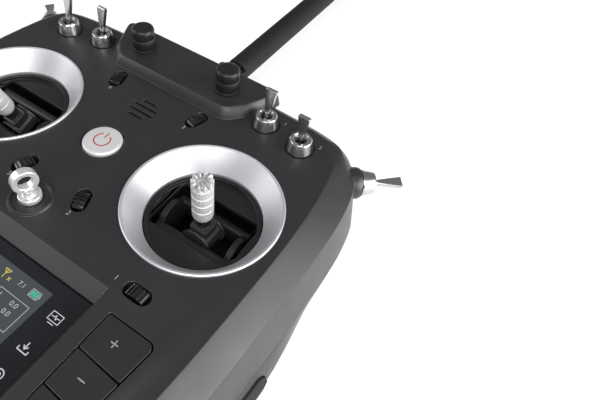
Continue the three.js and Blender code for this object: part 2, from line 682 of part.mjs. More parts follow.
function stickCarrier() {
  const flangeY = YOKE_BAR_INNER_Y - 0.4;
  const drum = rodAlongY(5.8, -flangeY, flangeY, 12);
  const flanges = SIDES.map(([, side]) => rodAlongY(7,
    Math.min(side * (flangeY - 1.1), side * flangeY), Math.max(side * (flangeY - 1.1), side * flangeY), 12));
  return join(
    drum,
    ...flanges,
    rodAlongY(CARRIER_PIN_RADIUS, -YOKE_BAR_OUTER_Y + 0.6, YOKE_BAR_OUTER_Y - 0.6, 10),
    slab(roundedRectangle(8, 7.6, 1, 2), 2, 7.6),
    rod(2.75, 7, TIP_START - FIT, 12),
    rod(SHAFT_RADIUS, TIP_START - 1, TIP_START + 11, 10),
  );
}

function stickTip() {
  const bore = SHAFT_RADIUS + FIT;
  return turned([
    [0, TIP_START + 12], [bore, TIP_START + 12], [bore, TIP_START], [3.2, TIP_START],
    [TIP_RADIUS - 0.1, TIP_START + 1.4], [TIP_RADIUS, TIP_START + 3], [TIP_RADIUS, TIP_START + 6.6],
    [TIP_RADIUS - 0.5, TIP_START + 7], [TIP_RADIUS - 0.5, TIP_START + 7.6], [TIP_RADIUS, TIP_START + 8],
    [TIP_RADIUS, TIP_END - 0.8], [TIP_RADIUS - 0.7, TIP_END], [2, TIP_END],
    [1.6, TIP_END - 1.2], [0, TIP_END - 1.2],
  ], 10);
}

// ---------------------------------------------------------------- toggle switches

// Drawn about the centre of the nut's seat, with Z along the switch axis.
function switchNut() {
  const bore = BUSHING_RADIUS + FIT;
  const low = -NUT_SEAT + FIT;
  const high = low + NUT_HEIGHT;
  return turned([
    [bore, low], [NUT_RADIUS, low], [NUT_RADIUS - 0.1, low + 1], [4.4, high - 0.4], [4, high],
    [2.75, high], [2.75, high - 0.5], [bore, high - 0.5],
  ], 12);
}

function switchBody(panel) {
  const [width, height, depth] = SWITCH_BODY;
  const top = -panel - FIT;
  const bushingTop = -NUT_SEAT + NUT_HEIGHT - 0.5;
  const casing = slab(roundedRectangle(width, height, 0.5, 1), top - depth, top);
  const well = LEVER_BALL + 0.4;
  return cut(join(casing, rod(BUSHING_RADIUS, top - 1, bushingTop, 14)), rod(well, -1.4, bushingTop + 1, 14));
}

// Drawn about the lever's pivot: a ball, a round neck and a flat paddle.
function switchLever() {
  const ring = (halfX, halfY) => Array.from({ length: 8 }, (_, index) => {
    const angle = index / 8 * 2 * Math.PI;
    const square = 0.55;
    const soften = (value) => Math.sign(value) * Math.abs(value) ** square;
    return new THREE.Vector2(halfX * soften(Math.cos(angle)), halfY * soften(Math.sin(angle)));
  });
  const paddle = loft([
    { z: 0.6, ring: ring(1, 1) },
    { z: 4.4, ring: ring(1, 1) },
    { z: LEVER_LENGTH - 4, ring: ring(2.2, 1) },
    { z: LEVER_LENGTH - 0.6, ring: ring(2.6, 0.85) },
    { z: LEVER_LENGTH, ring: ring(2.3, 0.6) },
  ]);
  return join(new THREE.SphereGeometry(LEVER_BALL, 8, 6), paddle);
}

// ---------------------------------------------------------------- knobs, trims, keys and buttons

function knob() {
  const bore = POT_SHAFT_RADIUS + FIT;
  const recess = POT_BUSHING_RADIUS + 0.4;
  return turned([
    [0, 7.4], [bore, 7.4], [bore, 1], [recess, 1], [recess, 0], [KNOB_RADIUS + 0.5, 0], [KNOB_RADIUS + 0.5, 0.9],
    [KNOB_RADIUS, 1.3],
    [KNOB_RADIUS, 5.6], [KNOB_RADIUS - 0.35, 5.9], [KNOB_RADIUS - 0.35, 6.4], [KNOB_RADIUS, 6.7],
    [KNOB_RADIUS, KNOB_HEIGHT - 1.5], [KNOB_RADIUS - 0.5, KNOB_HEIGHT - 0.6],
    [KNOB_RADIUS - 1.5, KNOB_HEIGHT - 0.1], [0, KNOB_HEIGHT],
  ], 12);
}

function potentiometer() {
  const top = DECK_HEIGHT - 2.3 - FIT;
  return join(
    slab(roundedRectangle(...POT_BODY, 0.8, 1), top - 7, top).translate(0, -POT_SET_FORWARD, 0),
    rod(POT_BUSHING_RADIUS, top - 1, DECK_HEIGHT - 0.2, 14),
    rod(POT_SHAFT_RADIUS, top, DECK_HEIGHT + 7, 10),
  );
}

// Drawn about the rocker's pin, long way along Y.
function trimRocker() {
  const half = 33 * DEGREE;
  const ribs = 5;
  const steps = ribs * 2 + 1;
  const arc = Array.from({ length: steps + 1 }, (_, index) => {
    const angle = half * (1 - 2 * index / steps);
    const radius = index % 2 === 1 ? TRIM_ARC : TRIM_ARC - 0.6;
    return new THREE.Vector2(radius * Math.sin(angle), radius * Math.cos(angle));
  });
  const foot = [[-1.9, 0.2], [-1.2, -1.5], [1.2, -1.5], [1.9, 0.2]].map((point) => new THREE.Vector2(...point));
  const width = TRIM_SLOT[0] - 2 * TRIM_SIDE_GAP;
  const wedge = slab([...arc, ...foot], -width / 2, width / 2).rotateY(90 * DEGREE).rotateX(90 * DEGREE);
  return join(wedge, rodAlongX(TRIM_PIN_RADIUS, -TRIM_SLOT[0] / 2 - 0.7, TRIM_SLOT[0] / 2 + 0.7, 8));
}

function powerButton() {
  const under = -WALL - 0.4;
  return turned([
    [0, under - 1.2], [POWER_RADIUS + BUTTON_FLANGE, under - 1.2], [POWER_RADIUS + BUTTON_FLANGE, under],
    [POWER_RADIUS, under], [POWER_RADIUS, 0.9], [POWER_RADIUS - 0.5, 1.4], [0, 1.5],
  ], 20);
}

function key(row) {
  const last = KEY_COUNT - 1;
  const halfSplit = KEY_SPLIT / 2;
  const under = -WALL - 0.4;
  const top = keyCorners(row);
  const bottom = keyCorners(row + 1);
  const cap = roundedPolygon([
    [bottom.outer[0], bottom.outer[1] + (row < last ? halfSplit : 0), row === last ? 2.4 : 0.5],
    [top.outer[0], top.outer[1] - (row > 0 ? halfSplit : 0), row === 0 ? 2.4 : 0.5],
    [top.inner[0], top.inner[1] - (row > 0 ? halfSplit : 0), row === 0 ? 0.8 : 0.5],
    [bottom.inner[0], bottom.inner[1] + (row < last ? halfSplit : 0), row === last ? 0.8 : 0.5],
  ], 3);
  const middleX = (KEY_INNER_X + KEY_OUTER_X) / 2;
  const middleY = (top.inner[1] + bottom.inner[1]) / 2;
  const lip = block([KEY_INNER_X - 1.4, bottom.inner[1] + 2, under - 1], [KEY_OUTER_X, top.outer[1] - 2, under]);
  return join(slab(cap, under - 1, KEY_PROUD), lip, rod(1.6, -BOARD_DEPTH + 1.4, under, 12)
    .translate(middleX, middleY, 0));
}

// ---------------------------------------------------------------- eyelet, screen and inner units

function strapEyelet() {
  const post = turned([
    [0, -WALL - 3], [EYELET_STUD_RADIUS, -WALL - 3], [EYELET_STUD_RADIUS, 0.7], [EYELET_DISC_RADIUS, 0.7],
    [EYELET_DISC_RADIUS, 2.1], [EYELET_DISC_RADIUS - 0.6, 2.6], [2.9, 2.7], [2.5, 3.6], [2.4, 6.6], [0, 6.6],
  ], 14);
  const ring = rodAlongX(EYELET_RING_RADIUS, -1.7, 1.7, 18).translate(0, 0, EYELET_RING_HEIGHT);
  const hole = rodAlongX(EYELET_HOLE_RADIUS, -4, 4, 14).translate(0, 0, EYELET_RING_HEIGHT);
  return cut(join(post, ring), hole);
}

function screenGlass() {
  return slab(roundedRectangle(2 * (SCREEN_HALF_WIDTH - FIT), SCREEN_HEIGHT - 2 * FIT, 0.5, 2),
    -GLASS_DEPTH - GLASS_THICKNESS, -GLASS_DEPTH).translate(0, SCREEN_MIDDLE_Y, 0);
}

function lcdModule() {
  const top = -GLASS_DEPTH - GLASS_THICKNESS - FIT;
  return slab(roundedRectangle(LCD_SIZE[0], LCD_SIZE[1], 0.6, 1), top - LCD_SIZE[2], top)
    .translate(0, SCREEN_MIDDLE_Y, 0);
}

function speaker() {
  const top = -WALL - 0.6;
  return turned([
    [0, top - 4.6], [6, top - 4.6], [6, top - 2.6], [SPEAKER_RADIUS, top - 1.2], [SPEAKER_RADIUS, top],
    [SPEAKER_RADIUS - 1.4, top], [7, top - 1], [0, top - 0.4],
  ], 14).translate(0, SPEAKER_AT_Y, 0);
}

function mainBoard() {
  const neck = GIMBAL_X - GIMBAL_RADIUS - 2.2;
  const wide = FACE_HALF_WIDTH - 10;
  const low = FACE_FRONT_Y + 4;
  const ring = roundedPolygon([
    [wide - 14, low, 3], [wide, low + 18, 3], [wide, -34, 3], [neck, -34, 3], [neck, 40, 2],
    [-neck, 40, 2], [-neck, -34, 3], [-wide, -34, 3], [-wide, low + 18, 3], [-wide + 14, low, 3],
  ], 3);
  return slab(ring, -BOARD_DEPTH - BOARD_THICKNESS, -BOARD_DEPTH);
}

function batteryPack() {
  const low = -BODY_DEPTH + FIT + COVER_SIZE[2] + 2 * FIT;
  return slab(roundedRectangle(PACK_SIZE[0], PACK_SIZE[1], 3, 3), low, low + PACK_SIZE[2])
    .translate(0, PACK_AT_Y, 0);
}

// ---------------------------------------------------------------- antenna

// Drawn about the antenna axis, from the rear wall outwards along Y.
function antennaSwivel() {
  const hinge = ANTENNA_HINGE_REACH;
  const cheekOuter = ANTENNA_RADIUS + 1.1;
  const barrel = turned([
    [0, -4], [ANTENNA_STUB_RADIUS, -4], [ANTENNA_STUB_RADIUS, FIT + 0.2], [ANTENNA_RADIUS + 0.8, FIT + 0.2],
    [ANTENNA_RADIUS + 0.8, 7], [ANTENNA_RADIUS, 8], [ANTENNA_RADIUS, hinge - 6.8], [0, hinge - 6.8],
  ], 14).rotateX(-90 * DEGREE);
  const cheeks = SIDES.map(([, side]) => {
    const inner = ANTENNA_TONGUE / 2 + SLIDE_FIT;
    const ring = roundedPolygon([
      [5.2, hinge - 9.5, 1], [5.2, hinge + 5.2, 5], [-5.2, hinge + 5.2, 5], [-5.2, hinge - 9.5, 1],
    ], 4);
    const low = Math.min(side * inner, side * cheekOuter);
    const high = Math.max(side * inner, side * cheekOuter);
    return slab(ring, low, high).rotateY(90 * DEGREE);
  });
  return cut(join(barrel, ...cheeks), rodAlongX(1.9, -cheekOuter - 1, cheekOuter + 1, 12).translate(0, hinge, 0));
}

// The pin and the whip are drawn about the fold axis.
function antennaWhip() {
  const gapToFork = 5.2 + FIT + 0.3;
  const body = turned([
    [0, gapToFork], [ANTENNA_RADIUS - 0.5, gapToFork], [ANTENNA_RADIUS, gapToFork + 0.8],
    [ANTENNA_RADIUS, ANTENNA_WHIP_LENGTH - 2.2], [ANTENNA_RADIUS - 0.8, ANTENNA_WHIP_LENGTH - 0.7],
    [ANTENNA_RADIUS - 2.6, ANTENNA_WHIP_LENGTH], [0, ANTENNA_WHIP_LENGTH],
  ], 14).rotateX(-90 * DEGREE);
  const ring = roundedPolygon([
    [4.6, -4.6, 4.5], [4.6, gapToFork + 1, 0.5], [-4.6, gapToFork + 1, 0.5], [-4.6, -4.6, 4.5],
  ], 4);
  const tongue = slab(ring, -ANTENNA_TONGUE / 2, ANTENNA_TONGUE / 2).rotateY(90 * DEGREE);
  const pin = rodAlongX(1.6, -ANTENNA_RADIUS - 1.6, ANTENNA_RADIUS + 1.6, 12);
  return join(body, tongue, pin);
}

// ---------------------------------------------------------------- assembly

const transmitter = new THREE.Group();
const layout = new THREE.Group();
layout.position.z = BODY_DEPTH;
transmitter.add(layout);

function place(parent, name, geometry, finish) {
  const mesh = new THREE.Mesh(geometry, new THREE.MeshStandardMaterial(FINISHES[finish]));
  mesh.name = name;
  parent.add(mesh);
  return mesh;
}

function groupAt(parent, x, y, z) {
  const group = new THREE.Group();
  group.position.set(x, y, z);
  parent.add(group);
  return group;
}

place(layout, 'front_case', frontCase(), 'case_plastic');
place(layout, 'rear_case', rearCase(), 'case_plastic');
place(layout, 'battery_cover', batteryCover(), 'case_plastic');
place(layout, 'screen_glass', screenGlass(), 'screen_glass');
place(layout, 'lcd_module', lcdModule(), 'black_plastic');
place(layout, 'speaker', speaker(), 'black_plastic');
place(layout, 'main_board', mainBoard(), 'circuit_green');
place(layout, 'battery_pack', batteryPack(), 'battery_wrap');
place(groupAt(layout, 0, POWER_AT_Y, 0), 'power_button', powerButton(), 'button_silver');

const eyelet = groupAt(layout, 0, EYELET_AT_Y, 0);
eyelet.rotation.z = EYELET_TURN * DEGREE;
place(eyelet, 'strap_eyelet', strapEyelet(), 'chrome');

for (const [sideName, side] of SIDES) {
  place(layout, `grip_${sideName}`, gripPad(side), 'grip_rubber');

  const stickUnit = groupAt(layout, side * GIMBAL_X, 0, 0);
  place(stickUnit, `bezel_${sideName}`, bezel(), 'satin_silver');
  place(stickUnit, `gimbal_housing_${sideName}`, gimbalHousing(), 'black_plastic');
  const stick = groupAt(stickUnit, 0, 0, GIMBAL_AXIS_Z);
  stick.rotation.x = side < 0 ? THROTTLE_REST_TILT * DEGREE : 0;
  place(stick, `outer_yoke_${sideName}`, outerYoke(), 'black_plastic');
  place(stick, `stick_carrier_${sideName}`, stickCarrier(), 'black_plastic');
  place(stick, `stick_tip_${sideName}`, stickTip(), 'stick_silver');

  const switches = TOGGLES.map((toggle) => ({
    name: toggle.name,
    group: groupAt(layout, side * toggle.x, toggle.y, 0),
    tilt: toggle.restTilt[sideName],
    panel: WALL,
  }));
  const sideGroup = new THREE.Group();
  sideGroup.applyMatrix4(sideSwitchMatrix(side));
  layout.add(sideGroup);
  switches.push({ name: 'side', group: sideGroup, tilt: 0, panel: SIDE_SWITCH.reach });
  for (const { name, group, tilt, panel } of switches) {
    place(group, `switch_nut_${name}_${sideName}`, switchNut(), 'chrome');
    place(group, `switch_body_${name}_${sideName}`, switchBody(panel), 'black_plastic');
    const lever = place(groupAt(group, 0, 0, LEVER_PIVOT), `switch_lever_${name}_${sideName}`,
      switchLever(), 'chrome');
    lever.rotation.x = -tilt * DEGREE;
  }

  const knobAt = groupAt(layout, side * KNOB_AT[0], KNOB_AT[1], 0);
  place(knobAt, `potentiometer_${sideName}`, potentiometer(), 'black_plastic');
  place(groupAt(knobAt, 0, 0, DECK_HEIGHT + 0.4), `knob_${sideName}`, knob(), 'black_plastic');

  for (const trim of TRIMS) {
    const trimGroup = new THREE.Group();
    trimGroup.applyMatrix4(trimMatrix(trim, side));
    layout.add(trimGroup);
    place(groupAt(trimGroup, 0, 0, -TRIM_PIVOT_DEPTH), `trim_${trim.name}_${sideName}`, trimRocker(),
      'black_plastic');
  }

  for (let row = 0; row < KEY_COUNT; row += 1) {
    place(layout, `key_${sideName}_${row + 1}`, mirrored(key(row), side), 'case_plastic');
  }
}

const antenna = groupAt(layout, 0, REAR_WALL_Y, -ANTENNA_DEPTH);
place(antenna, 'antenna_swivel', antennaSwivel(), 'black_plastic');
place(groupAt(antenna, 0, ANTENNA_HINGE_REACH, 0), 'antenna_whip', antennaWhip(), 'antenna_rubber');

export default transmitter;
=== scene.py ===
"""Finished surfaces of a two-stick radio transmitter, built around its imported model.

Every piece is drawn in millimetres, with the face of the controller as the plane z = 0, and is then
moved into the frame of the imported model, in metres.
"""

import json
import math

import bmesh
import bpy
from bpy.props import FloatProperty, FloatVectorProperty, IntProperty, PointerProperty
from mathutils import Matrix, Vector


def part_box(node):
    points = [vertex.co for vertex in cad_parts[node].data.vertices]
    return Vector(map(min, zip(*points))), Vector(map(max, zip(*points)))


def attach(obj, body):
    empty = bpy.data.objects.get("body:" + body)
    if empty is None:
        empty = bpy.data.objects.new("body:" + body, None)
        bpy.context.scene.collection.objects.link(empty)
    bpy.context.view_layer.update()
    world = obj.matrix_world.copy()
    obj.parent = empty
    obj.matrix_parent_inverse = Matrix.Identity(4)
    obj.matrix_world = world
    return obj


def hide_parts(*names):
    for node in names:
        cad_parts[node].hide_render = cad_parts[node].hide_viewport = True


bl_info = {
    "name": "Radio Transmitter Controller",
    "version": (1, 0, 0),
    "blender": (4, 5, 0),
    "location": "View3D > Sidebar > Transmitter",
    "description": "Builds the finished surfaces of a two-stick radio transmitter",
    "category": "Object",
}

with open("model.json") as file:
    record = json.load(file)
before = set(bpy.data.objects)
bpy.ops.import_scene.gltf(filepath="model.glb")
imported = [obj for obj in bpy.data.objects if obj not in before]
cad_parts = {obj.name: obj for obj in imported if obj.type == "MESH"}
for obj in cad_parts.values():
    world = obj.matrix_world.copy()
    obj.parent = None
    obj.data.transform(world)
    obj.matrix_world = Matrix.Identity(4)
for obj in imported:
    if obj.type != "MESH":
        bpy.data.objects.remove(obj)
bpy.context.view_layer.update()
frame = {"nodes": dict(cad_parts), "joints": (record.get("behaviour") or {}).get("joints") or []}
MM = 0.001
SIDES = (("left", -1), ("right", 1))
JOINTS = {joint["name"]: joint for joint in frame["joints"]}


# ---------------------------------------------------------------- places taken from the frame

def box_mm(node):
    """Lowest and highest corner of a model node, in millimetres."""
    low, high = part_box(node)
    return Vector(low) / MM, Vector(high) / MM


BEZEL_RISE = 1.1
FACE = box_mm("bezel_right")[1].z - BEZEL_RISE


def from_face(point):
    """A point of the frame, in millimetres, measured from the face plane."""
    return Vector((point[0], point[1], point[2] - FACE))


def joint_place(name):
    """A hinge's point, in millimetres from the face plane."""
    return from_face(Vector(JOINTS[name]["pos_m"]) / MM)


def joint_axis(name):
    """A joint's axis."""
    return Vector(JOINTS[name]["axis"]).normalized()


def basis(across, up, origin):
    """The place of a piece drawn with X along across and Z along up."""
    up = up.normalized()
    across = across.normalized()
    depth = up.cross(across)
    turn = Matrix((across, depth, up)).transposed().to_4x4()
    return Matrix.Translation(origin) @ turn


# ---------------------------------------------------------------- settings a user may change

class TransmitterColours(bpy.types.PropertyGroup):
    """Colours of the controller's finishes."""

    case: FloatVectorProperty(
        name="Case", description="Moulded case and keys", subtype="COLOR", size=3,
        min=0, max=1, default=(0.0142, 0.0145, 0.0160))
    silver: FloatVectorProperty(
        name="Stick surrounds", description="Satin silver rings round the sticks", subtype="COLOR",
        size=3, min=0, max=1, default=(0.52, 0.52, 0.54))
    nickel: FloatVectorProperty(
        name="Nickel", description="Polished switches and eyelet", subtype="COLOR", size=3,
        min=0, max=1, default=(0.50, 0.495, 0.49))
    tip: FloatVectorProperty(
        name="Stick ends", description="Matt knurled aluminium", subtype="COLOR", size=3,
        min=0, max=1, default=(0.62, 0.62, 0.63))
    button: FloatVectorProperty(
        name="Power button", description="Silver painted button", subtype="COLOR", size=3,
        min=0, max=1, default=(0.46, 0.455, 0.46))
    sign: FloatVectorProperty(
        name="Power sign", description="Printed sign on the button", subtype="COLOR", size=3,
        min=0, max=1, default=(0.30, 0.035, 0.045))
    print_grey: FloatVectorProperty(
        name="Printed marks", description="Marks printed on the case", subtype="COLOR", size=3,
        min=0, max=1, default=(0.20, 0.20, 0.21))
    antenna: FloatVectorProperty(
        name="Antenna", description="Rubber sleeve of the antenna", subtype="COLOR", size=3,
        min=0, max=1, default=(0.009, 0.009, 0.0095))


class TransmitterSizes(bpy.types.PropertyGroup):
    """Surface details that a user may change."""

    edge_round: FloatProperty(
        name="Edge round", description="Radius on the moulded edges, in millimetres",
        min=0.05, max=1, default=0.3)
    knob_ridges: IntProperty(
        name="Knob ridges", description="Ridges round each knob", min=12, max=90, default=44)
    tip_teeth: IntProperty(
        name="Stick teeth", description="Teeth of the crown on each stick end", min=6, max=16, default=10)
    rocker_ribs: IntProperty(
        name="Rocker ribs", description="Ribs across each trim rocker", min=3, max=7, default=5)


# ---------------------------------------------------------------- shapes

def arc_points(before, corner, after, radius, steps=4):
    """The points of an arc that rounds a corner of an outline."""
    corner = Vector(corner)
    to_before = Vector(before) - corner
    to_after = Vector(after) - corner
    half = to_before.angle(to_after) / 2
    reach = min(radius / math.tan(half), to_before.length * 0.49, to_after.length * 0.49)
    radius = reach * math.tan(half)
    to_before.normalize()
    to_after.normalize()
    centre = corner + (to_before + to_after).normalized() * (radius / math.sin(half))
    start = corner + to_before * reach - centre
    sweep = start.angle_signed(corner + to_after * reach - centre)
    points = []
    for step in range(steps + 1):
        angle = -sweep * step / steps
        turned = Matrix.Rotation(angle, 2) @ start
        points.append(tuple(centre + turned))
    return points


def rounded(outline, closed=False, steps=4):
    """An outline whose (x, y, radius) corners are rounded, and whose (x, y) corners stay sharp."""
    points = []
    count = len(outline)
    for index, corner in enumerate(outline):
        at_end = not closed and index in (0, count - 1)
        if len(corner) < 3 or at_end:
            points.append(corner[:2])
            continue
        before = outline[index - 1][:2]
        after = outline[(index + 1) % count][:2]
        points.extend(arc_points(before, corner[:2], after, corner[2], steps))
    return points


def rounded_rectangle(width, height, radius, steps=4):
    """A closed outline round the origin."""
    x = width / 2
    y = height / 2
    return rounded([(x, -y, radius), (x, y, radius), (-x, y, radius), (-x, -y, radius)], True, steps)


def circle(radius, count):
    """A closed outline round the origin."""
    return [(radius * math.cos(turn), radius * math.sin(turn))
            for turn in (2 * math.pi * index / count for index in range(count))]


def ridged_circle(radius, depth, ridges, per_ridge=4):
    """A circle with rounded ridges all round it."""
    count = ridges * per_ridge
    points = []
    for index in range(count):
        turn = 2 * math.pi * index / count
        wave = 0.5 + 0.5 * math.cos(ridges * turn)
        reach = radius - depth * (1 - wave)
        points.append((reach * math.cos(turn), reach * math.sin(turn)))
    return points


def add_turned(mesh, outline, steps=72, closed=False):
    """Spins an outline of (radius, height) points about Z."""
    verts = [mesh.verts.new((radius, 0, height)) for radius, height in outline]
    edges = [mesh.edges.new(pair) for pair in zip(verts, verts[1:])]
    if closed:
        edges.append(mesh.edges.new((verts[-1], verts[0])))
    before = set(mesh.verts) - set(verts)
    bmesh.ops.spin(mesh, geom=verts + edges, cent=(0, 0, 0), axis=(0, 0, 1), angle=2 * math.pi,
                   steps=steps, use_merge=True, use_duplicate=False)
    made = [vert for vert in mesh.verts if vert not in before]
    bmesh.ops.remove_doubles(mesh, verts=made, dist=1e-4)


def add_loft(mesh, levels):
    """Bridges flat rings, each (height, outline), from the lowest to the highest, and closes both ends."""
    rings = []
    for height, outline in levels:
        verts = [mesh.verts.new((x, y, height)) for x, y in outline]
        pairs = zip(verts, verts[1:] + verts[:1])
        rings.append((verts, [mesh.edges.new(pair) for pair in pairs]))
    for (_, low), (_, high) in zip(rings, rings[1:]):
        bmesh.ops.bridge_loops(mesh, edges=low + high)
    mesh.faces.new(list(reversed(rings[0][0])))
    mesh.faces.new(rings[-1][0])


def add_prism(mesh, outline, low, high, bevel=0.0, segments=2):
    """Extrudes a closed outline and rounds its rims."""
    verts = [mesh.verts.new((x, y, low)) for x, y in outline]
    face = mesh.faces.new(verts)
    made = bmesh.ops.extrude_face_region(mesh, geom=[face])["geom"]
    top = [item for item in made if isinstance(item, bmesh.types.BMVert)]
    bmesh.ops.translate(mesh, verts=top, vec=(0, 0, high - low))
    if bevel:
        rim = {edge for vert in top for edge in vert.link_edges
               if edge.other_vert(vert) in top}
        bmesh.ops.bevel(mesh, geom=list(rim), offset=bevel, offset_type="OFFSET", affect="EDGES",
                        segments=segments, profile=0.5, material=-1, clamp_overlap=True)


def add_box(mesh, size, centre, bevel=0.0):
    """A box with rounded edges."""
    made = bmesh.ops.create_cube(mesh, size=1)["verts"]
    bmesh.ops.scale(mesh, verts=made, vec=size)
    bmesh.ops.translate(mesh, verts=made, vec=centre)
    if bevel:
        edges = {edge for vert in made for edge in vert.link_edges}
        bmesh.ops.bevel(mesh, geom=list(edges), offset=bevel, offset_type="OFFSET", affect="EDGES",
                        segments=2, profile=0.5, material=-1, clamp_overlap=True)


def moved(mesh, matrix, draw):
    """Runs draw(mesh) and moves what it made by matrix."""
    before = set(mesh.verts)
    draw(mesh)
    made = [vert for vert in mesh.verts if vert not in before]
    bmesh.ops.transform(mesh, matrix=matrix, verts=made)


def smooth_by_angle(mesh, angle):
    """Shades the surface smooth, with a crisp edge wherever it turns more than angle."""
    for face in mesh.faces:
        face.smooth = True
    for edge in mesh.edges:
        edge.smooth = len(edge.link_faces) == 2 and edge.calc_face_angle(0) < angle


def finish_piece(name, mesh, material, body, stands_for=(), sharp=32, place=None):
    """Makes a finished piece from a drawing in millimetres."""
    if place is not None:
        bmesh.ops.transform(mesh, matrix=place, verts=mesh.verts)
    bmesh.ops.translate(mesh, verts=mesh.verts, vec=(0, 0, FACE))
    bmesh.ops.scale(mesh, verts=mesh.verts, vec=(MM, MM, MM))
    bmesh.ops.recalc_face_normals(mesh, faces=mesh.faces)
    return link_piece(name, mesh, material, body, stands_for, sharp)


def link_piece(name, mesh, material, body, stands_for, sharp):
    """Links a drawing in metres as an object that rides on a body."""
    smooth_by_angle(mesh, math.radians(sharp))
    data = bpy.data.meshes.new(name)
    mesh.to_mesh(data)
    mesh.free()
    data.materials.append(material)
    piece = bpy.data.objects.new(name, data)
    bpy.context.scene.collection.objects.link(piece)
    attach(piece, body)
    if stands_for:
        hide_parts(*stands_for)
    return piece


def moulded_copy(node, name, material, body, edge, sharp=28, flats=True):
    """Stands for a model node with the same shape and softly rounded edges."""
    mesh = bmesh.new()
    mesh.from_mesh(frame["nodes"][node].data)
    bmesh.ops.remove_doubles(mesh, verts=mesh.verts, dist=2e-6)
    if flats:
        bmesh.ops.dissolve_limit(mesh, angle_limit=math.radians(0.4), verts=mesh.verts, edges=mesh.edges,
                                 use_dissolve_boundaries=False)
    else:
        bmesh.ops.join_triangles(mesh, faces=mesh.faces, angle_face_threshold=math.radians(0.5),
                                 angle_shape_threshold=math.radians(60))
    piece = link_piece(name, mesh, material, body, (node,), sharp)
    if edge:
        bevel = piece.modifiers.new("Edges", "BEVEL")
        bevel.width = edge * MM
        bevel.segments = 2
        bevel.limit_method = "ANGLE"
        bevel.angle_limit = math.radians(sharp)
        bevel.use_clamp_overlap = False
        bevel.harden_normals = True


def finish_node(node, finish):
    """Gives a model node that stays visible its finish."""
    data = frame["nodes"][node].data
    data.materials.clear()
    data.materials.append(FINISHES[finish])


# ---------------------------------------------------------------- finishes

def add_node(tree, kind, inputs=None, **settings):
    """Adds a shader node; inputs may be values or output sockets."""
    node = tree.nodes.new(kind)
    for name, value in settings.items():
        setattr(node, name, value)
    for name, value in (inputs or {}).items():
        if isinstance(value, bpy.types.NodeSocket):
            tree.links.new(value, node.inputs[name])
        else:
            node.inputs[name].default_value = value
    return node


def shade(colour, factor):
    """A colour made lighter or darker."""
    return (*(min(1.0, part * factor) for part in colour), 1.0)


def start_material(name):
    """A material with an empty shader, its tree, its shader and its Object coordinates."""
    material = bpy.data.materials.new(name)
    material.use_nodes = True
    tree = material.node_tree
    tree.nodes.clear()
    shader = add_node(tree, "ShaderNodeBsdfPrincipled")
    output = add_node(tree, "ShaderNodeOutputMaterial")
    tree.links.new(shader.outputs["BSDF"], output.inputs["Surface"])
    where = add_node(tree, "ShaderNodeTexCoord").outputs["Object"]
    return material, tree, shader, where


def grain(tree, where, scale, detail=3.0, roughness=0.55):
    """A fine noise in Object coordinates, as a value."""
    return add_node(tree, "ShaderNodeTexNoise", {
        "Vector": where, "Scale": scale, "Detail": detail, "Roughness": roughness}).outputs["Fac"]


def ranged(tree, value, low, high, start=0.25, end=0.75):
    """Maps a noise value to a range."""
    return add_node(tree, "ShaderNodeMapRange", {
        "Value": value, "From Min": start, "From Max": end, "To Min": low, "To Max": high}).outputs["Result"]


def blended(tree, value, first, second):
    """Mixes two colours by a value."""
    mix = add_node(tree, "ShaderNodeMix", data_type="RGBA")
    tree.links.new(value, mix.inputs["Factor"])
    mix.inputs["A"].default_value = first
    mix.inputs["B"].default_value = second
    return mix.outputs["Result"]


def moulded_plastic(name, colour, roughness=0.42, grain_scale=2600, depth=0.03, specular=0.35):
    """Spark-eroded moulded plastic: fine grain, soft sheen and faint handling marks."""
    material, tree, shader, where = start_material(name)
    fine = grain(tree, where, grain_scale, 2.0, 0.5)
    broad = grain(tree, where, 26, 4.0)
    tone = blended(tree, ranged(tree, broad, 0, 1), shade(colour, 0.9), shade(colour, 1.1))
    tree.links.new(tone, shader.inputs["Base Color"])
    handled = ranged(tree, grain(tree, where, 60, 5.0, 0.6), roughness - 0.05, roughness + 0.06)
    tree.links.new(handled, shader.inputs["Roughness"])
    bump = add_node(tree, "ShaderNodeBump", {"Strength": 0.35, "Distance": depth * MM, "Height": fine})
    tree.links.new(bump.outputs["Normal"], shader.inputs["Normal"])
    shader.inputs["Specular IOR Level"].default_value = specular
    return material


def plated_metal(name, colour, roughness, brushed=0.0, smudge=0.05, metallic=1.0):
    """Plated or bare metal with faint smudges and, if brushed, a stronger grain."""
    material, tree, shader, where = start_material(name)
    tree.links.new(blended(tree, ranged(tree, grain(tree, where, 90, 3.0), 0, 1),
                           shade(colour, 0.95), shade(colour, 1.04)), shader.inputs["Base Color"])
    dull = ranged(tree, grain(tree, where, 150, 5.0, 0.6), roughness - smudge * 0.5, roughness + smudge)
    tree.links.new(dull, shader.inputs["Roughness"])
    shader.inputs["Metallic"].default_value = metallic
    fine = grain(tree, where, 3800, 2.0)
    bump = add_node(tree, "ShaderNodeBump", {
        "Strength": 0.15 + brushed, "Distance": 0.01 * MM, "Height": fine})
    tree.links.new(bump.outputs["Normal"], shader.inputs["Normal"])
    return material


def soft_rubber(name, colour, roughness=0.62):
    """Matt rubber with a fine mottled skin."""
    material, tree, shader, where = start_material(name)
    broad = grain(tree, where, 70, 5.0, 0.65)
    tree.links.new(blended(tree, ranged(tree, broad, 0, 1), shade(colour, 0.85), shade(colour, 1.2)),
                   shader.inputs["Base Color"])
    tree.links.new(ranged(tree, grain(tree, where, 220, 3.0), roughness - 0.06, roughness + 0.08),
                   shader.inputs["Roughness"])
    bump = add_node(tree, "ShaderNodeBump", {
        "Strength": 0.4, "Distance": 0.04 * MM, "Height": grain(tree, where, 1500, 3.0)})
    tree.links.new(bump.outputs["Normal"], shader.inputs["Normal"])
    shader.inputs["Specular IOR Level"].default_value = 0.16
    return material


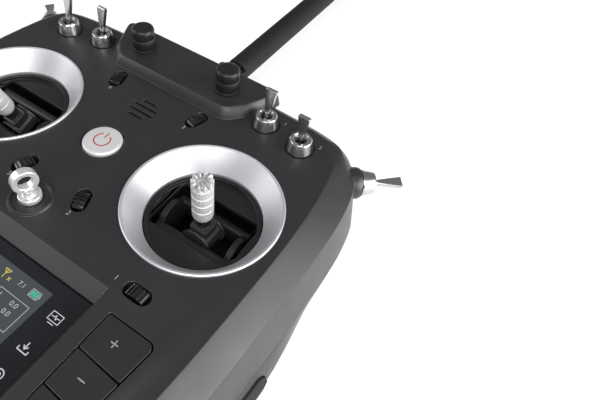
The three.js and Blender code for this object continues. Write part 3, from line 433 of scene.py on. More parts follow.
def printed_ink(name, colour, roughness=0.5):
    """Pad-printed ink, slightly uneven."""
    material, tree, shader, where = start_material(name)
    tree.links.new(blended(tree, ranged(tree, grain(tree, where, 900, 2.0), 0, 1),
                           shade(colour, 0.86), shade(colour, 1.08)), shader.inputs["Base Color"])
    shader.inputs["Roughness"].default_value = roughness
    return material


DOT_ROW_PITCH = 0.35


def lit_display(name, colour, strength):
    """A lit display area, with its rows of dots."""
    material, tree, shader, where = start_material(name)
    axes = add_node(tree, "ShaderNodeSeparateXYZ", {"Vector": where})
    rows = add_node(tree, "ShaderNodeMath", {0: axes.outputs["Y"], 1: 1 / (DOT_ROW_PITCH * MM)},
                    operation="MULTIPLY")
    wave = add_node(tree, "ShaderNodeMath", {0: rows.outputs[0]}, operation="FRACT")
    dots = ranged(tree, wave.outputs[0], 0, 1, 0.05, 0.25)
    tone = blended(tree, dots, shade(colour, 0.8), shade(colour, 1.05))
    tree.links.new(tone, shader.inputs["Emission Color"])
    shader.inputs["Emission Strength"].default_value = strength
    shader.inputs["Base Color"].default_value = shade(colour, 0.05)
    shader.inputs["Roughness"].default_value = 0.12
    return material


def cover_glass(name):
    """Black printed cover glass: nearly a mirror, with dust and wiping marks."""
    material, tree, shader, where = start_material(name)
    wiped = grain(tree, where, 35, 6.0, 0.7)
    tree.links.new(blended(tree, wiped, (0.004, 0.0045, 0.006, 1), (0.009, 0.0095, 0.012, 1)),
                   shader.inputs["Base Color"])
    tree.links.new(ranged(tree, wiped, 0.04, 0.14), shader.inputs["Roughness"])
    shader.inputs["Specular IOR Level"].default_value = 0.5
    return material


def circuit_board(name):
    """Green solder mask with tracks under it."""
    material, tree, shader, where = start_material(name)
    tracks = add_node(tree, "ShaderNodeTexVoronoi", {"Vector": where, "Scale": 260.0},
                      feature="DISTANCE_TO_EDGE").outputs["Distance"]
    tree.links.new(blended(tree, ranged(tree, tracks, 0, 1, 0.02, 0.06),
                           (0.03, 0.13, 0.05, 1), (0.008, 0.05, 0.02, 1)), shader.inputs["Base Color"])
    shader.inputs["Roughness"].default_value = 0.35
    return material


FINISHES = {}


def make_finishes(colours):
    """Makes every material once."""
    case = tuple(colours.case)
    FINISHES.update({
        "case": moulded_plastic("case_plastic", case, 0.40, 2300, 0.03, 0.42),
        "key": moulded_plastic("key_plastic", shade(case, 0.9)[:3], 0.46, 2600, 0.025, 0.26),
        "gimbal": moulded_plastic("gimbal_plastic", (0.008, 0.008, 0.009), 0.34, 1900, 0.02, 0.4),
        "drum": moulded_plastic("drum_grey", (0.022, 0.022, 0.023), 0.36, 1900, 0.02, 0.4),
        "switch_housing": moulded_plastic("switch_housing", (0.010, 0.010, 0.011), 0.4),
        "knob": moulded_plastic("knob_black", (0.007, 0.0072, 0.008), 0.38, 2800, 0.02, 0.32),
        "trim": moulded_plastic("trim_black", (0.006, 0.006, 0.007), 0.24, 2400, 0.01, 0.6),
        "silver": plated_metal("satin_silver", tuple(colours.silver), 0.42, 0.10, 0.05, 0.7),
        "nickel": plated_metal("polished_nickel", tuple(colours.nickel), 0.21, 0.0, 0.06),
        "eyelet": plated_metal("polished_steel", shade(colours.nickel, 1.4)[:3], 0.26, 0.0, 0.05, 0.7),
        "tip": plated_metal("knurled_aluminium", shade(colours.tip, 0.8)[:3], 0.45, 0.1, 0.06, 0.45),
        "screw": plated_metal("blackened_screw", (0.10, 0.10, 0.11), 0.35, 0.1, 0.1),
        "button": plated_metal("button_silver", tuple(colours.button), 0.42, 0.05, 0.05, 0.25),
        "sign": printed_ink("sign_red", tuple(colours.sign)),
        "print": printed_ink("print_grey", tuple(colours.print_grey)),
        "icon": lit_display("icon_white", (0.60, 0.61, 0.63), 0.9),
        "glass": cover_glass("cover_glass"),
        "display": lit_display("display_grey", (0.070, 0.078, 0.090), 0.8),
        "display_line": lit_display("display_line", (0.50, 0.52, 0.55), 0.8),
        "display_green": lit_display("display_green", (0.10, 0.62, 0.42), 0.7),
        "display_yellow": lit_display("display_yellow", (0.70, 0.58, 0.12), 0.8),
        "antenna": soft_rubber("antenna_rubber", tuple(colours.antenna), 0.60),
        "grip": soft_rubber("grip_rubber", (0.012, 0.012, 0.013), 0.7),
        "board": circuit_board("circuit_board"),
        "battery": moulded_plastic("battery_wrap", (0.02, 0.06, 0.20), 0.25, 900, 0.02, 0.5),
        "lcd": moulded_plastic("lcd_frame", (0.03, 0.03, 0.035), 0.5),
        "speaker": moulded_plastic("speaker_cone", (0.012, 0.012, 0.012), 0.7, 1400, 0.05, 0.2),
    })


# ---------------------------------------------------------------- case and its printed marks

MARK_LIFT = 0.01
MARK_THICKNESS = 0.05
FONT_SIZE_PER_HEIGHT = 1.38
TRIM_NUMBERS = (("1", 48.4, -41.6), ("2", 15.9, -32.1), ("3", 20.8, 28.2))
TRIM_NUMBER_HEIGHT = 2.1
SWITCH_NUMBER_HEIGHT = 1.8
SWITCH_NUMBER_OFFSET = (6.8, 5.2)


def add_text(mesh, words, height, at, turn=0.0, level=0.0):
    """Adds flat figures, centred on a point."""
    curve = bpy.data.curves.new("figures", "FONT")
    curve.body = words
    curve.size = height * FONT_SIZE_PER_HEIGHT
    curve.align_x = "CENTER"
    curve.align_y = "CENTER"
    curve.extrude = MARK_THICKNESS / 2
    curve.resolution_u = 3
    holder = bpy.data.objects.new("figures", curve)
    bpy.context.scene.collection.objects.link(holder)
    bpy.context.view_layer.update()
    drawn = holder.evaluated_get(bpy.context.evaluated_depsgraph_get()).to_mesh()
    before = set(mesh.verts)
    mesh.from_mesh(drawn)
    made = [vert for vert in mesh.verts if vert not in before]
    bmesh.ops.remove_doubles(mesh, verts=made, dist=1e-4)
    made = [vert for vert in mesh.verts if vert not in before]
    place = Matrix.Translation((at[0], at[1], level + MARK_LIFT + MARK_THICKNESS / 2))
    bmesh.ops.transform(mesh, matrix=place @ Matrix.Rotation(turn, 4, "Z"), verts=made)
    bpy.data.objects.remove(holder)
    bpy.data.curves.remove(curve)


def add_bar(mesh, start, end, width, level=0.0):
    """A thin flat line between two points."""
    start, end = Vector(start), Vector(end)
    along = end - start
    place = Matrix.Translation((*((start + end) / 2), level + MARK_LIFT))
    turn = Matrix.Rotation(math.atan2(along.y, along.x), 4, "Z")
    outline = rounded_rectangle(along.length + width * 0.5, width, width * 0.3, 2)
    moved(mesh, place @ turn, lambda drawing: add_prism(drawing, outline, 0, MARK_THICKNESS))


def add_bars(mesh, strokes, width, level, origin=(0, 0)):
    """Flat lines, each (start, end), measured from an origin."""
    x, y = origin
    for start, end in strokes:
        add_bar(mesh, (x + start[0], y + start[1]), (x + end[0], y + end[1]), width, level)


def add_frame(mesh, left, right, low, high, width, level):
    """The four lines of an upright rectangle."""
    add_bars(mesh, (((left, high), (right, high)), ((left, low), (right, low)),
                    ((left, low), (left, high)), ((right, low), (right, high))), width, level)


def add_arc(mesh, centre, radius, width, start, sweep, level=0.0, steps=40):
    """A thin flat arc, angles in degrees."""
    outline = []
    for reach, order in ((radius + width / 2, 1), (radius - width / 2, -1)):
        side = []
        for step in range(steps + 1):
            turn = math.radians(start + sweep * step / steps)
            side.append((centre[0] + reach * math.cos(turn), centre[1] + reach * math.sin(turn)))
        outline.extend(side[::order])
    low = level + MARK_LIFT
    verts = [[mesh.verts.new((x, y, height)) for x, y in outline] for height in (low, low + MARK_THICKNESS)]
    count = steps + 1
    for index in range(steps):
        partner = 2 * count - 1 - index
        for layer in verts:
            mesh.faces.new((layer[index], layer[index + 1], layer[partner - 1], layer[partner]))
    for index in range(2 * count):
        following = (index + 1) % (2 * count)
        mesh.faces.new((verts[0][index], verts[0][following], verts[1][following], verts[1][index]))


class RT_OT_front_case(bpy.types.Operator):
    """Builds the front shell and the marks printed on it"""

    bl_idname = "transmitter.front_case"
    bl_label = "Front case"

    def execute(self, context):
        edge = context.scene.transmitter_sizes.edge_round
        moulded_copy("front_case", "front_shell", FINISHES["case"], "case", edge)
        marks = bmesh.new()
        for number, x, y in TRIM_NUMBERS:
            add_text(marks, number, TRIM_NUMBER_HEIGHT, (x, y))
            add_text(marks, str(int(number) + len(TRIM_NUMBERS)), TRIM_NUMBER_HEIGHT, (-x, y))
        across, up = SWITCH_NUMBER_OFFSET
        for side_name, side in SIDES:
            for switch, number in (("inner", "1"), ("outer", "2")):
                place = joint_place(f"lever_{switch}_{side_name}_throw")
                add_text(marks, number, SWITCH_NUMBER_HEIGHT, (place.x + side * across, place.y + up))
        finish_piece("printed_marks", marks, FINISHES["print"], "case", sharp=60)
        return {"FINISHED"}


SCREW_PLACES = ((70, 46), (74, -62), (52, -92), (24, 46))
SCREW_HEAD_RADIUS = 2.5
SCREW_HEAD_LOW = 2.2
SCREW_SINK = 4.0


class RT_OT_back_case(bpy.types.Operator):
    """Builds the rear shell, the battery cover, the grips and the screws"""

    bl_idname = "transmitter.back_case"
    bl_label = "Back case"

    def execute(self, context):
        edge = context.scene.transmitter_sizes.edge_round
        moulded_copy("rear_case", "rear_shell", FINISHES["case"], "case", edge)
        moulded_copy("battery_cover", "battery_door", FINISHES["case"], "battery_cover", edge)
        for side_name, _ in SIDES:
            moulded_copy(f"grip_{side_name}", f"grip_pad_{side_name}", FINISHES["grip"], "case",
                         edge)
        for number, (x, y) in enumerate(SCREW_PLACES, 1):
            for side_name, side in SIDES:
                screw = bmesh.new()
                draw_screw(screw)
                finish_piece(f"case_screw_{side_name}_{number}", screw, FINISHES["screw"], "case",
                             place=Matrix.Translation((side * x, y, -FACE)))
        return {"FINISHED"}


def draw_screw(mesh):
    """A domed head with a cross on it, facing down into its sink from the back rest."""
    low = SCREW_HEAD_LOW
    wide = SCREW_HEAD_RADIUS
    head = rounded([
        (0, low), (1.3, low), (wide, low + 0.7, 0.4), (wide, SCREW_SINK), (0, SCREW_SINK),
    ], steps=3)
    add_turned(mesh, head, 32)
    for turn in (0, math.pi / 2):
        moved(mesh, Matrix.Rotation(turn, 4, "Z"),
              lambda drawing: add_box(drawing, (2.6, 0.5, 0.3), (0, 0, low - 0.02), 0.05))


# ---------------------------------------------------------------- stick units

STICK_REACH = (12.4, 34.0)
COLLAR_REACH = (9.4, 12.6)
TIP_RADIUS = 4.2
TIP_BANDS = 4
TIP_RIDGES = 34
THROAT_RADIUS = 23.2
GIMBAL_EDGE = 0.25
DRUM_EDGE = 0.2


class RT_OT_stick_surrounds(bpy.types.Operator):
    """Builds the satin silver rings round the sticks"""

    bl_idname = "transmitter.stick_surrounds"
    bl_label = "Stick surrounds"

    def execute(self, context):
        for side_name, _ in SIDES:
            low, high = box_mm(f"bezel_{side_name}")
            centre = (low + high) / 2
            outer = (high.x - low.x) / 2
            throat = THROAT_RADIUS
            outline = rounded([
                (throat, -10, 0.2), (throat + 1.5, -10, 0.2), (outer - 1.9, -2.4), (outer - 1.3, -1.4),
                (outer - 1.3, 0.06, 0.05), (outer, 0.06, 0.1), (outer, 0.75, 0.35), (outer - 0.5, 1.1, 0.3),
                (outer - 1.35, 0.75, 0.35), (throat, -8, 0.35),
            ], closed=True, steps=4)
            ring = bmesh.new()
            add_turned(ring, outline, 160, closed=True)
            finish_piece(f"stick_surround_{side_name}", ring, FINISHES["silver"], "case",
                         (f"bezel_{side_name}",), 40, Matrix.Translation((centre.x, centre.y, 0)))
        return {"FINISHED"}


class RT_OT_stick_units(bpy.types.Operator):
    """Builds the black stick housings, yokes and carriers"""

    bl_idname = "transmitter.stick_units"
    bl_label = "Stick units"

    def execute(self, context):
        for side_name, _ in SIDES:
            moulded_copy(f"gimbal_housing_{side_name}", f"stick_housing_{side_name}", FINISHES["gimbal"],
                         "case", GIMBAL_EDGE, flats=False)
            moulded_copy(f"outer_yoke_{side_name}", f"stick_yoke_{side_name}", FINISHES["gimbal"],
                         f"yoke_{side_name}", GIMBAL_EDGE)
            moulded_copy(f"stick_carrier_{side_name}", f"stick_drum_{side_name}", FINISHES["drum"],
                         f"stick_{side_name}", DRUM_EDGE)
        return {"FINISHED"}


def draw_stick_end(mesh, teeth):
    """A knurled sleeve with ring grooves and a crown of teeth, drawn along Z from the stick's pivot."""
    low, high = STICK_REACH
    around = 4 * TIP_RIDGES
    groove = TIP_RADIUS - 0.28
    levels = [
        (low, circle(2.7, around)), (low + 0.5, circle(3.5, around)),
        (low + 1.3, circle(TIP_RADIUS - 0.3, around)), (low + 2.2, circle(TIP_RADIUS - 0.05, around)),
    ]
    start = low + 2.5
    pitch = (high - 3.0 - start) / TIP_BANDS
    for index in range(TIP_BANDS):
        base = start + index * pitch
        levels += [
            (base + 0.25, ridged_circle(TIP_RADIUS, 0.16, TIP_RIDGES)),
            (base + pitch - 0.5, ridged_circle(TIP_RADIUS, 0.16, TIP_RIDGES)),
            (base + pitch - 0.35, circle(groove, around)), (base + pitch, circle(groove, around)),
        ]
    floor = high - 2.5
    levels += [
        (floor, circle(TIP_RADIUS - 0.1, around)), (floor + 0.15, circle(TIP_RADIUS - 0.35, around)),
        (floor - 0.1, circle(2.4, around)), (floor + 0.5, circle(1.9, around)),
        (floor + 0.5, circle(1.25, around)), (floor - 1.2, circle(1.2, around)),
    ]
    add_loft(mesh, levels)
    tooth = rounded([
        (2.2, -0.28, 0.1), (TIP_RADIUS, -0.85, 0.25), (TIP_RADIUS, 0.85, 0.25), (2.2, 0.28, 0.1),
    ], True, 2)
    point = [(2.2 + (x - 2.2) * 0.75 + 0.5, y * 0.42) for x, y in tooth]
    for index in range(teeth):
        turn = Matrix.Rotation(2 * math.pi * index / teeth, 4, "Z")
        crown = [(floor - 0.5, tooth), (high - 1.0, tooth), (high - 0.15, point),
                 (high, [(3.4 + (x - 3.4) * 0.8, y * 0.8) for x, y in point])]
        moved(mesh, turn, lambda drawing: add_loft(drawing, crown))


class RT_OT_stick_ends(bpy.types.Operator):
    """Builds the knurled stick ends and the collars under them"""

    bl_idname = "transmitter.stick_ends"
    bl_label = "Stick ends"

    def execute(self, context):
        for side_name, _ in SIDES:
            pivot = joint_place(f"stick_{side_name}_forward_back")
            across = joint_axis(f"stick_{side_name}_forward_back")
            along = joint_axis(f"stick_{side_name}_side_to_side")
            end = bmesh.new()
            draw_stick_end(end, context.scene.transmitter_sizes.tip_teeth)
            place = basis(across, across.cross(along), pivot)
            finish_piece(f"stick_end_{side_name}", end, FINISHES["tip"], f"stick_{side_name}",
                         (f"stick_tip_{side_name}",), 30, place)
            low, high = COLLAR_REACH
            collar = bmesh.new()
            section = rounded([(1.7, low), (3.1, low, 0.2), (2.8, high, 0.2), (1.7, high)], True, 3)
            add_turned(collar, section, 48, closed=True)
            finish_piece(f"stick_collar_{side_name}", collar, FINISHES["gimbal"], f"stick_{side_name}",
                         (), 30, place)
        return {"FINISHED"}


# ---------------------------------------------------------------- toggle switches

LEVER_PIVOT = 1.6
LEVER_LENGTH = 15.6
SWITCH_CASE = (8, 12.6, 9)
NUT_LOW = -0.4
BUSHING_TOP = 4.5
BUSHING_BORE = 2.4
# Top of the dark disc of painted shade inside each bushing.
SHADE_DISC_TOP = 3.3
REST_LEAN = {"inner_left": 10, "inner_right": 10, "outer_left": 10}


def draw_lever(mesh):
    """A ball, a round neck and a flat flared paddle, drawn along Z from the pivot."""
    ball = [(2.0 * math.sin(turn), -2.0 * math.cos(turn))
            for turn in (math.pi * 0.8 * step / 10 for step in range(1, 11))]
    sections = [(height, radius, radius, radius) for radius, height in ball]
    sections += [
        (2.0, 1.05, 1.05, 1.05), (4.2, 1.1, 1.05, 1.0), (5.6, 1.25, 1.0, 0.5), (8.6, 1.65, 0.97, 0.25),
        (12.0, 2.12, 0.95, 0.2), (LEVER_LENGTH - 0.25, 2.6, 0.93, 0.2), (LEVER_LENGTH, 2.4, 0.75, 0.15),
    ]
    add_loft(mesh, [(height, rounded_rectangle(2 * wide, 2 * thick, corner))
                    for height, wide, thick, corner in sections])


def draw_nut(mesh, radius, high):
    """A conical dress nut with a rolled rim."""
    bore = 3.3
    low = NUT_LOW
    add_turned(mesh, rounded([
        (bore, low), (radius, low, 0.1), (radius, 0.2, 0.15), (4.6, high - 0.5, 0.35), (4.3, high, 0.25),
        (3.35, high, 0.12), (3.2, high - 0.35, 0.1), (2.75, high - 0.35, 0.1), (2.75, high - 0.6),
        (bore, high - 0.6),
    ], True, 3), 96, closed=True)


def draw_bushing(mesh, low):
    """The threaded bushing that shows inside the nut."""
    high = BUSHING_TOP
    bore = BUSHING_BORE
    add_turned(mesh, rounded([
        (bore, low), (3.0, low), (3.0, high - 0.2, 0.15), (2.85, high, 0.1), (bore, high, 0.1),
    ], True, 3), 64, closed=True)


def draw_shade_disc(mesh):
    """A dark disc inside the bushing, round the bat: painted shade standing for the shadow in the bushing's
    bore.
    """
    hole = 1.65
    edge = BUSHING_BORE - 0.05
    low = SHADE_DISC_TOP - 0.3
    section = rounded([(hole, low), (edge, low), (edge, SHADE_DISC_TOP, 0.1), (hole, SHADE_DISC_TOP, 0.1)], True, 3)
    add_turned(mesh, section, 64, closed=True)


def lowest_along(node, origin, axis):
    """How far a model node reaches behind a point, along an axis."""
    vertices = frame["nodes"][node].data.vertices
    return min((from_face(vert.co / MM) - origin).dot(axis) for vert in vertices)


def hinge_out(name):
    """The way a side switch points, from its pivot to the middle of its lever."""
    low, high = box_mm(f"switch_lever_{name}")
    away = from_face((low + high) / 2) - joint_place(f"lever_{name}_throw")
    return Vector((away.x, away.y, 0)).normalized()


class RT_OT_toggle_switches(bpy.types.Operator):
    """Builds the nuts, bushings, housings and bats of the toggle switches, with a dark disc of painted shade
    in each bushing
    """

    bl_idname = "transmitter.toggle_switches"
    bl_label = "Toggle switches"

    def execute(self, context):
        low, high = box_mm("switch_nut_inner_right")
        radius = (high.x - low.x) / 2
        nut_high = NUT_LOW + high.z - low.z
        for side_name, _ in SIDES:
            for switch in ("inner", "outer", "side"):
                self.build(f"{switch}_{side_name}", switch == "side", radius, nut_high)
        return {"FINISHED"}

    def build(self, name, on_side, radius, nut_high):
        """One switch: its nut stands on the case and its bat rides on the lever."""
        joint = f"lever_{name}_throw"
        pivot = joint_place(joint)
        hinge = joint_axis(joint)
        out = hinge_out(name) if on_side else Vector((0, 0, 1))
        seat = pivot - out * LEVER_PIVOT
        place = basis(hinge, out, seat)
        bottom = lowest_along(f"switch_body_{name}", seat, out)
        nut = bmesh.new()
        draw_nut(nut, radius, nut_high)
        finish_piece(f"dress_nut_{name}", nut, FINISHES["nickel"], "case",
                     (f"switch_nut_{name}",), 34, place)
        housing = bmesh.new()
        add_box(housing, SWITCH_CASE, (0, 0, bottom + SWITCH_CASE[2] / 2), 0.3)
        finish_piece(f"switch_case_{name}", housing, FINISHES["switch_housing"], "case",
                     (f"switch_body_{name}",), 30, place)
        bushing = bmesh.new()
        draw_bushing(bushing, bottom + SWITCH_CASE[2] + 0.05)
        finish_piece(f"switch_bushing_{name}", bushing, FINISHES["nickel"], "case", (), 34, place)
        # A dark disc in the bushing round the bat: painted shade for the shadow in the bore, not a real part
        # of the switch.
        shade_disc = bmesh.new()
        draw_shade_disc(shade_disc)
        finish_piece(f"switch_painted_shade_{name}", shade_disc, FINISHES["switch_housing"], "case",
                     (), 34, place)
        up = Matrix.Rotation(math.radians(-REST_LEAN.get(name, 0)), 3, hinge) @ out
        bat = bmesh.new()
        draw_lever(bat)
        finish_piece(f"bat_{name}", bat, FINISHES["nickel"], f"lever_{name}",
                     (f"switch_lever_{name}",), 12, basis(hinge, up, pivot))


# ---------------------------------------------------------------- knobs, rockers, keys and button

KNOB_SKIRT_WIDTH = 0.5
KNOB_SKIRT = ((0, 0.2), (0.1, 0.45), (0.75, 0.45), (0.95, 0.2), (1.0, -0.25))
KNOB_BAND = (1.2, 5.35)
KNOB_GROOVE = ((5.55, -0.25), (5.6, -0.5), (6.25, -0.5), (6.3, -0.1), (6.5, 0))
KNOB_CAP = ((1.9, 0), (1.1, -0.16), (0.55, -0.55), (0.2, -1.2), (0.05, -2.2), (0, -3.6))


def draw_knob(mesh, radius, height, ridges):
    """A skirt, a knurled band, a groove and a rounded cap; each ring steps out from the radius."""
    around = 4 * ridges
    cap = tuple((height - drop, step) for drop, step in KNOB_CAP)
    levels = [(level, circle(radius + step, around)) for level, step in KNOB_SKIRT]
    levels += [(level, ridged_circle(radius, 0.2, ridges)) for level in KNOB_BAND]
    levels += [(level, circle(radius + step, around)) for level, step in KNOB_GROOVE + cap]
    add_loft(mesh, levels)


class RT_OT_knobs(bpy.types.Operator):
    """Builds the two knurled knobs and finishes the controls under them"""

    bl_idname = "transmitter.knobs"
    bl_label = "Knobs"

    def execute(self, context):
        ridges = context.scene.transmitter_sizes.knob_ridges
        for side_name, _ in SIDES:
            low, high = box_mm(f"knob_{side_name}")
            place = joint_place(f"knob_{side_name}_turn")
            place.z = low.z - FACE
            knob = bmesh.new()
            draw_knob(knob, (high.x - low.x) / 2 - KNOB_SKIRT_WIDTH, high.z - low.z, ridges)
            finish_piece(f"knurled_knob_{side_name}", knob, FINISHES["knob"], f"knob_{side_name}",
                         (f"knob_{side_name}",), 50, Matrix.Translation(place))
            finish_node(f"potentiometer_{side_name}", "switch_housing")
        return {"FINISHED"}


ROCKER_CROWN = 6.55
ROCKER_HALF_ANGLE = 34
ROCKER_HALF_WIDTH = 2.1


def draw_rocker(mesh, ribs):
    """A rocker with ribs across its crown, drawn about its pin with its long way along Y."""
    crown = ROCKER_CROWN
    half = math.radians(ROCKER_HALF_ANGLE)
    steps = 18
    arc = [(crown * math.sin(turn), crown * math.cos(turn))
           for turn in (half * (2 * step / steps - 1) for step in range(steps + 1))]
    outline = arc[::-1] + [(-1.9, 0.2), (-1.2, -1.5), (1.2, -1.5), (1.9, 0.2)]
    stand = Matrix(((0, 0, 1, 0), (1, 0, 0, 0), (0, 1, 0, 0), (0, 0, 0, 1)))
    moved(mesh, stand, lambda drawing: add_prism(drawing, outline, -ROCKER_HALF_WIDTH, ROCKER_HALF_WIDTH))
    for index in range(ribs):
        turn = half * 0.78 * (2 * index / (ribs - 1) - 1)
        lean = Matrix.Rotation(-turn, 4, "X")
        moved(mesh, lean, lambda drawing: add_box(drawing, (4.5, 0.62, 1.3), (0, 0, crown + 0.02), 0.16))


class RT_OT_trim_rockers(bpy.types.Operator):
    """Builds the ribbed trim rockers"""

    bl_idname = "transmitter.trim_rockers"
    bl_label = "Trim rockers"

    def execute(self, context):
        ribs = context.scene.transmitter_sizes.rocker_ribs
        for side_name, _ in SIDES:
            for trim in ("upper", "inner", "lower"):
                name = f"trim_{trim}_{side_name}"
                rocker = bmesh.new()
                draw_rocker(rocker, ribs)
                pin = f"{name}_rock"
                place = basis(joint_axis(pin), Vector((0, 0, 1)), joint_place(pin))
                finish_piece(f"rocker_{trim}_{side_name}", rocker, FINISHES["trim"], name,
                             (name,), 30, place)
        return {"FINISHED"}


KEY_SIGN_REACH = 1.35
KEY_SIGN_WIDTH = 0.42
KEY_SIGN_SHIFT = (0.4, 0.6)
KEY_SQUARE = (
    ((-1.1, -1.1), (1.1, -1.1)), ((-1.1, 1.1), (1.1, 1.1)),
    ((-1.1, -0.6), (-1.1, 0.6)), ((1.1, -0.6), (1.1, 0.6)),
)


class RT_OT_keys(bpy.types.Operator):
    """Builds the keys beside the screen and their signs"""

    bl_idname = "transmitter.keys"
    bl_label = "Keys"

    def execute(self, context):
        edge = context.scene.transmitter_sizes.edge_round
        for side_name, side in SIDES:
            for row in (1, 2, 3):
                node = f"key_{side_name}_{row}"
                moulded_copy(node, f"key_cap_{side_name}_{row}", FINISHES["key"], node, edge)
                low, high = box_mm(node)
                inwards, up = KEY_SIGN_SHIFT
                centre = Vector(((low.x + high.x) / 2 - side * inwards, (low.y + high.y) / 2 + up))
                sign = bmesh.new()
                self.draw_sign(sign, row, centre, high.z - FACE, side)
                finish_piece(f"key_sign_{side_name}_{row}", sign, FINISHES["print"], node,
                             sharp=60)
        return {"FINISHED"}

    def draw_sign(self, mesh, row, centre, top, side):
        """A plus, a minus and a ring on the right; arrows and a square on the left."""
        reach = KEY_SIGN_REACH
        width = KEY_SIGN_WIDTH
        x, y = centre
        if side > 0 and row < 3:
            add_bar(mesh, (x - reach, y), (x + reach, y), width, top)
            if row == 1:
                add_bar(mesh, (x, y - reach), (x, y - width), width, top)
                add_bar(mesh, (x, y + width), (x, y + reach), width, top)
        elif side > 0:
            add_arc(mesh, centre, reach, width, 0, 359, top)
        elif row < 3:
            lift = 0.6 if row == 1 else -0.6
            add_bar(mesh, (x - reach, y - lift), (x - 0.15, y + lift), width, top)
            add_bar(mesh, (x + reach, y - lift), (x + 0.15, y + lift), width, top)
        else:
            add_bars(mesh, KEY_SQUARE, width, top, centre)


BUTTON_RADIUS = 8.15
BUTTON_FLANGE_RADIUS = 9.4
BUTTON_SETBACK = 0.5
POWER_SIGN_RADIUS = 3.4
POWER_SIGN_GAP = 66


class RT_OT_power_button(bpy.types.Operator):
    """Builds the power button and its sign"""

    bl_idname = "transmitter.power_button"
    bl_label = "Power button"

    def execute(self, context):
        low, high = box_mm("power_button")
        centre = (low + high) / 2
        top = high.z - FACE - BUTTON_SETBACK
        radius = BUTTON_RADIUS
        flange = BUTTON_FLANGE_RADIUS
        button = bmesh.new()
        add_turned(button, rounded([
            (0, -4.2), (flange, -4.2, 0.2), (flange, -3, 0.2), (radius, -3), (radius, top - 0.75, 0.3),
            (radius - 0.75, top - 0.12, 0.5), (radius - 1.4, top - 0.05), (0, top),
        ], steps=5), 128)
        place = Matrix.Translation((centre.x, centre.y, 0))
        finish_piece("silver_button", button, FINISHES["button"], "power_button",
                     ("power_button",), 35, place)
        sign = bmesh.new()
        level = top - 0.03
        gap = POWER_SIGN_GAP
        add_arc(sign, centre.xy, POWER_SIGN_RADIUS, 0.55, 90 + gap / 2, 360 - gap, level)
        add_bar(sign, (centre.x, centre.y + 1.2), (centre.x, centre.y + 4.3), 0.5, level)
        finish_piece("power_sign", sign, FINISHES["sign"], "power_button", sharp=60)
        return {"FINISHED"}


# ---------------------------------------------------------------- eyelet, screen and inner units

EYELET_RING_HEIGHT = 9.9
EYELET_RING_RADII = (3.0, 5.0)
EYELET_RING_HALF_WIDTH = 1.7
EYELET_DISC_RADIUS = 4.4
EYELET_TURN = -20


class RT_OT_strap_eyelet(bpy.types.Operator):
    """Builds the polished eyelet for the neck strap"""

    bl_idname = "transmitter.strap_eyelet"
    bl_label = "Strap eyelet"

    def execute(self, context):
        pivot = joint_place("strap_eyelet_swivel")
        turn = Matrix.Rotation(math.radians(EYELET_TURN), 4, "Z")
        place = Matrix.Translation((pivot.x, pivot.y, 0)) @ turn
        disc = EYELET_DISC_RADIUS
        eyelet = bmesh.new()
        add_turned(eyelet, rounded([
            (0, -5.6), (2, -5.6), (2, 0.7), (disc, 0.7, 0.3), (disc, 2.7, 0.35), (2.5, 2.75, 0.3),
            (2.4, 5.2, 0.5), (2.5, 6.2), (0, 6.2),
        ], steps=5), 72)
        inner, outer = EYELET_RING_RADII
        half = EYELET_RING_HALF_WIDTH
        ring = rounded([(inner, -half, 0.5), (outer, -half, 0.4), (outer, half, 0.4), (inner, half, 0.5)],
                       True, 5)
        stand = Matrix.Translation((0, 0, EYELET_RING_HEIGHT)) @ Matrix.Rotation(math.pi / 2, 4, "Y")
        moved(eyelet, stand, lambda drawing: add_turned(drawing, ring, 64, closed=True))
        finish_piece("strap_ring", eyelet, FINISHES["eyelet"], "strap_eyelet",
                     ("strap_eyelet",), 45, place)
        slot = bmesh.new()
        add_bar(slot, (3.1, -2.4), (3.1, 2.4), 0.35, 2.73)
        finish_piece("strap_ring_slot", slot, FINISHES["print"], "strap_eyelet", (), 60, place)
        return {"FINISHED"}


DISPLAY_SIZE = (67.2, 37.8)
DISPLAY_CENTRE = (0, -76.1)
DISPLAY_SKIN = 0.02
DISPLAY_BOXES = (
    (17.5, 31.2, -76.0, -65.4), (2.4, 16.2, -76.0, -65.4), (-13.6, 0.2, -76.0, -65.4),
    (-32.2, 32.2, -92.8, -78.4),
)
DISPLAY_FIGURES = (
    ("7.1", 1.9, (22.5, -60.9)), ("0.0", 2.0, (26.2, -67.6)), ("0.0", 2.0, (26.2, -71.0)),
    ("1", 2.0, (19.4, -67.6)), ("2", 2.0, (19.4, -71.0)), ("0.0", 2.4, (9.2, -70.4)),
    ("100", 2.4, (-6.8, -70.4)), ("00:00", 3.6, (-22, -85.6)),
)
CHART_START = (-6, -90.6)
CHART_PITCH = 3
CELL_BOX = (26.9, 30.7, -62.3, -59.5)
CELL_PITCH = 1.08
AERIAL_TOP = (14.5, -59.4)
AERIAL_STROKES = (
    ((-1.4, 0), (1.4, 0)), ((-1.4, 0), (0, -1.6)), ((1.4, 0), (0, -1.6)), ((0, 0), (0, -3.4)),
    ((2.2, -2), (3.2, -3.2)), ((3.2, -2), (2.2, -3.2)),
)
TOUCH_X = 40.7
PULSE_Y = -62.7
PULSE_STROKES = (
    ((-1.7, 0), (-0.6, 0)), ((-0.6, 0), (-0.2, 0.8)), ((-0.2, 0.8), (0.3, -0.7)),
    ((0.3, -0.7), (0.7, 0.1)), ((0.7, 0.1), (1.7, 0.1)), ((-1.2, -2.5), (1.2, -2.5)),
)
TRAY_Y = -75.3
TRAY_STROKES = (
    ((0, 1.9), (0, -0.5)), ((-0.9, 0.4), (0, -0.6)), ((0.9, 0.4), (0, -0.6)),
    ((-2, -0.6), (-2, -1.7)), ((2, -0.6), (2, -1.7)), ((-2, -1.7), (2, -1.7)),
)
RINGS_Y = -85.9


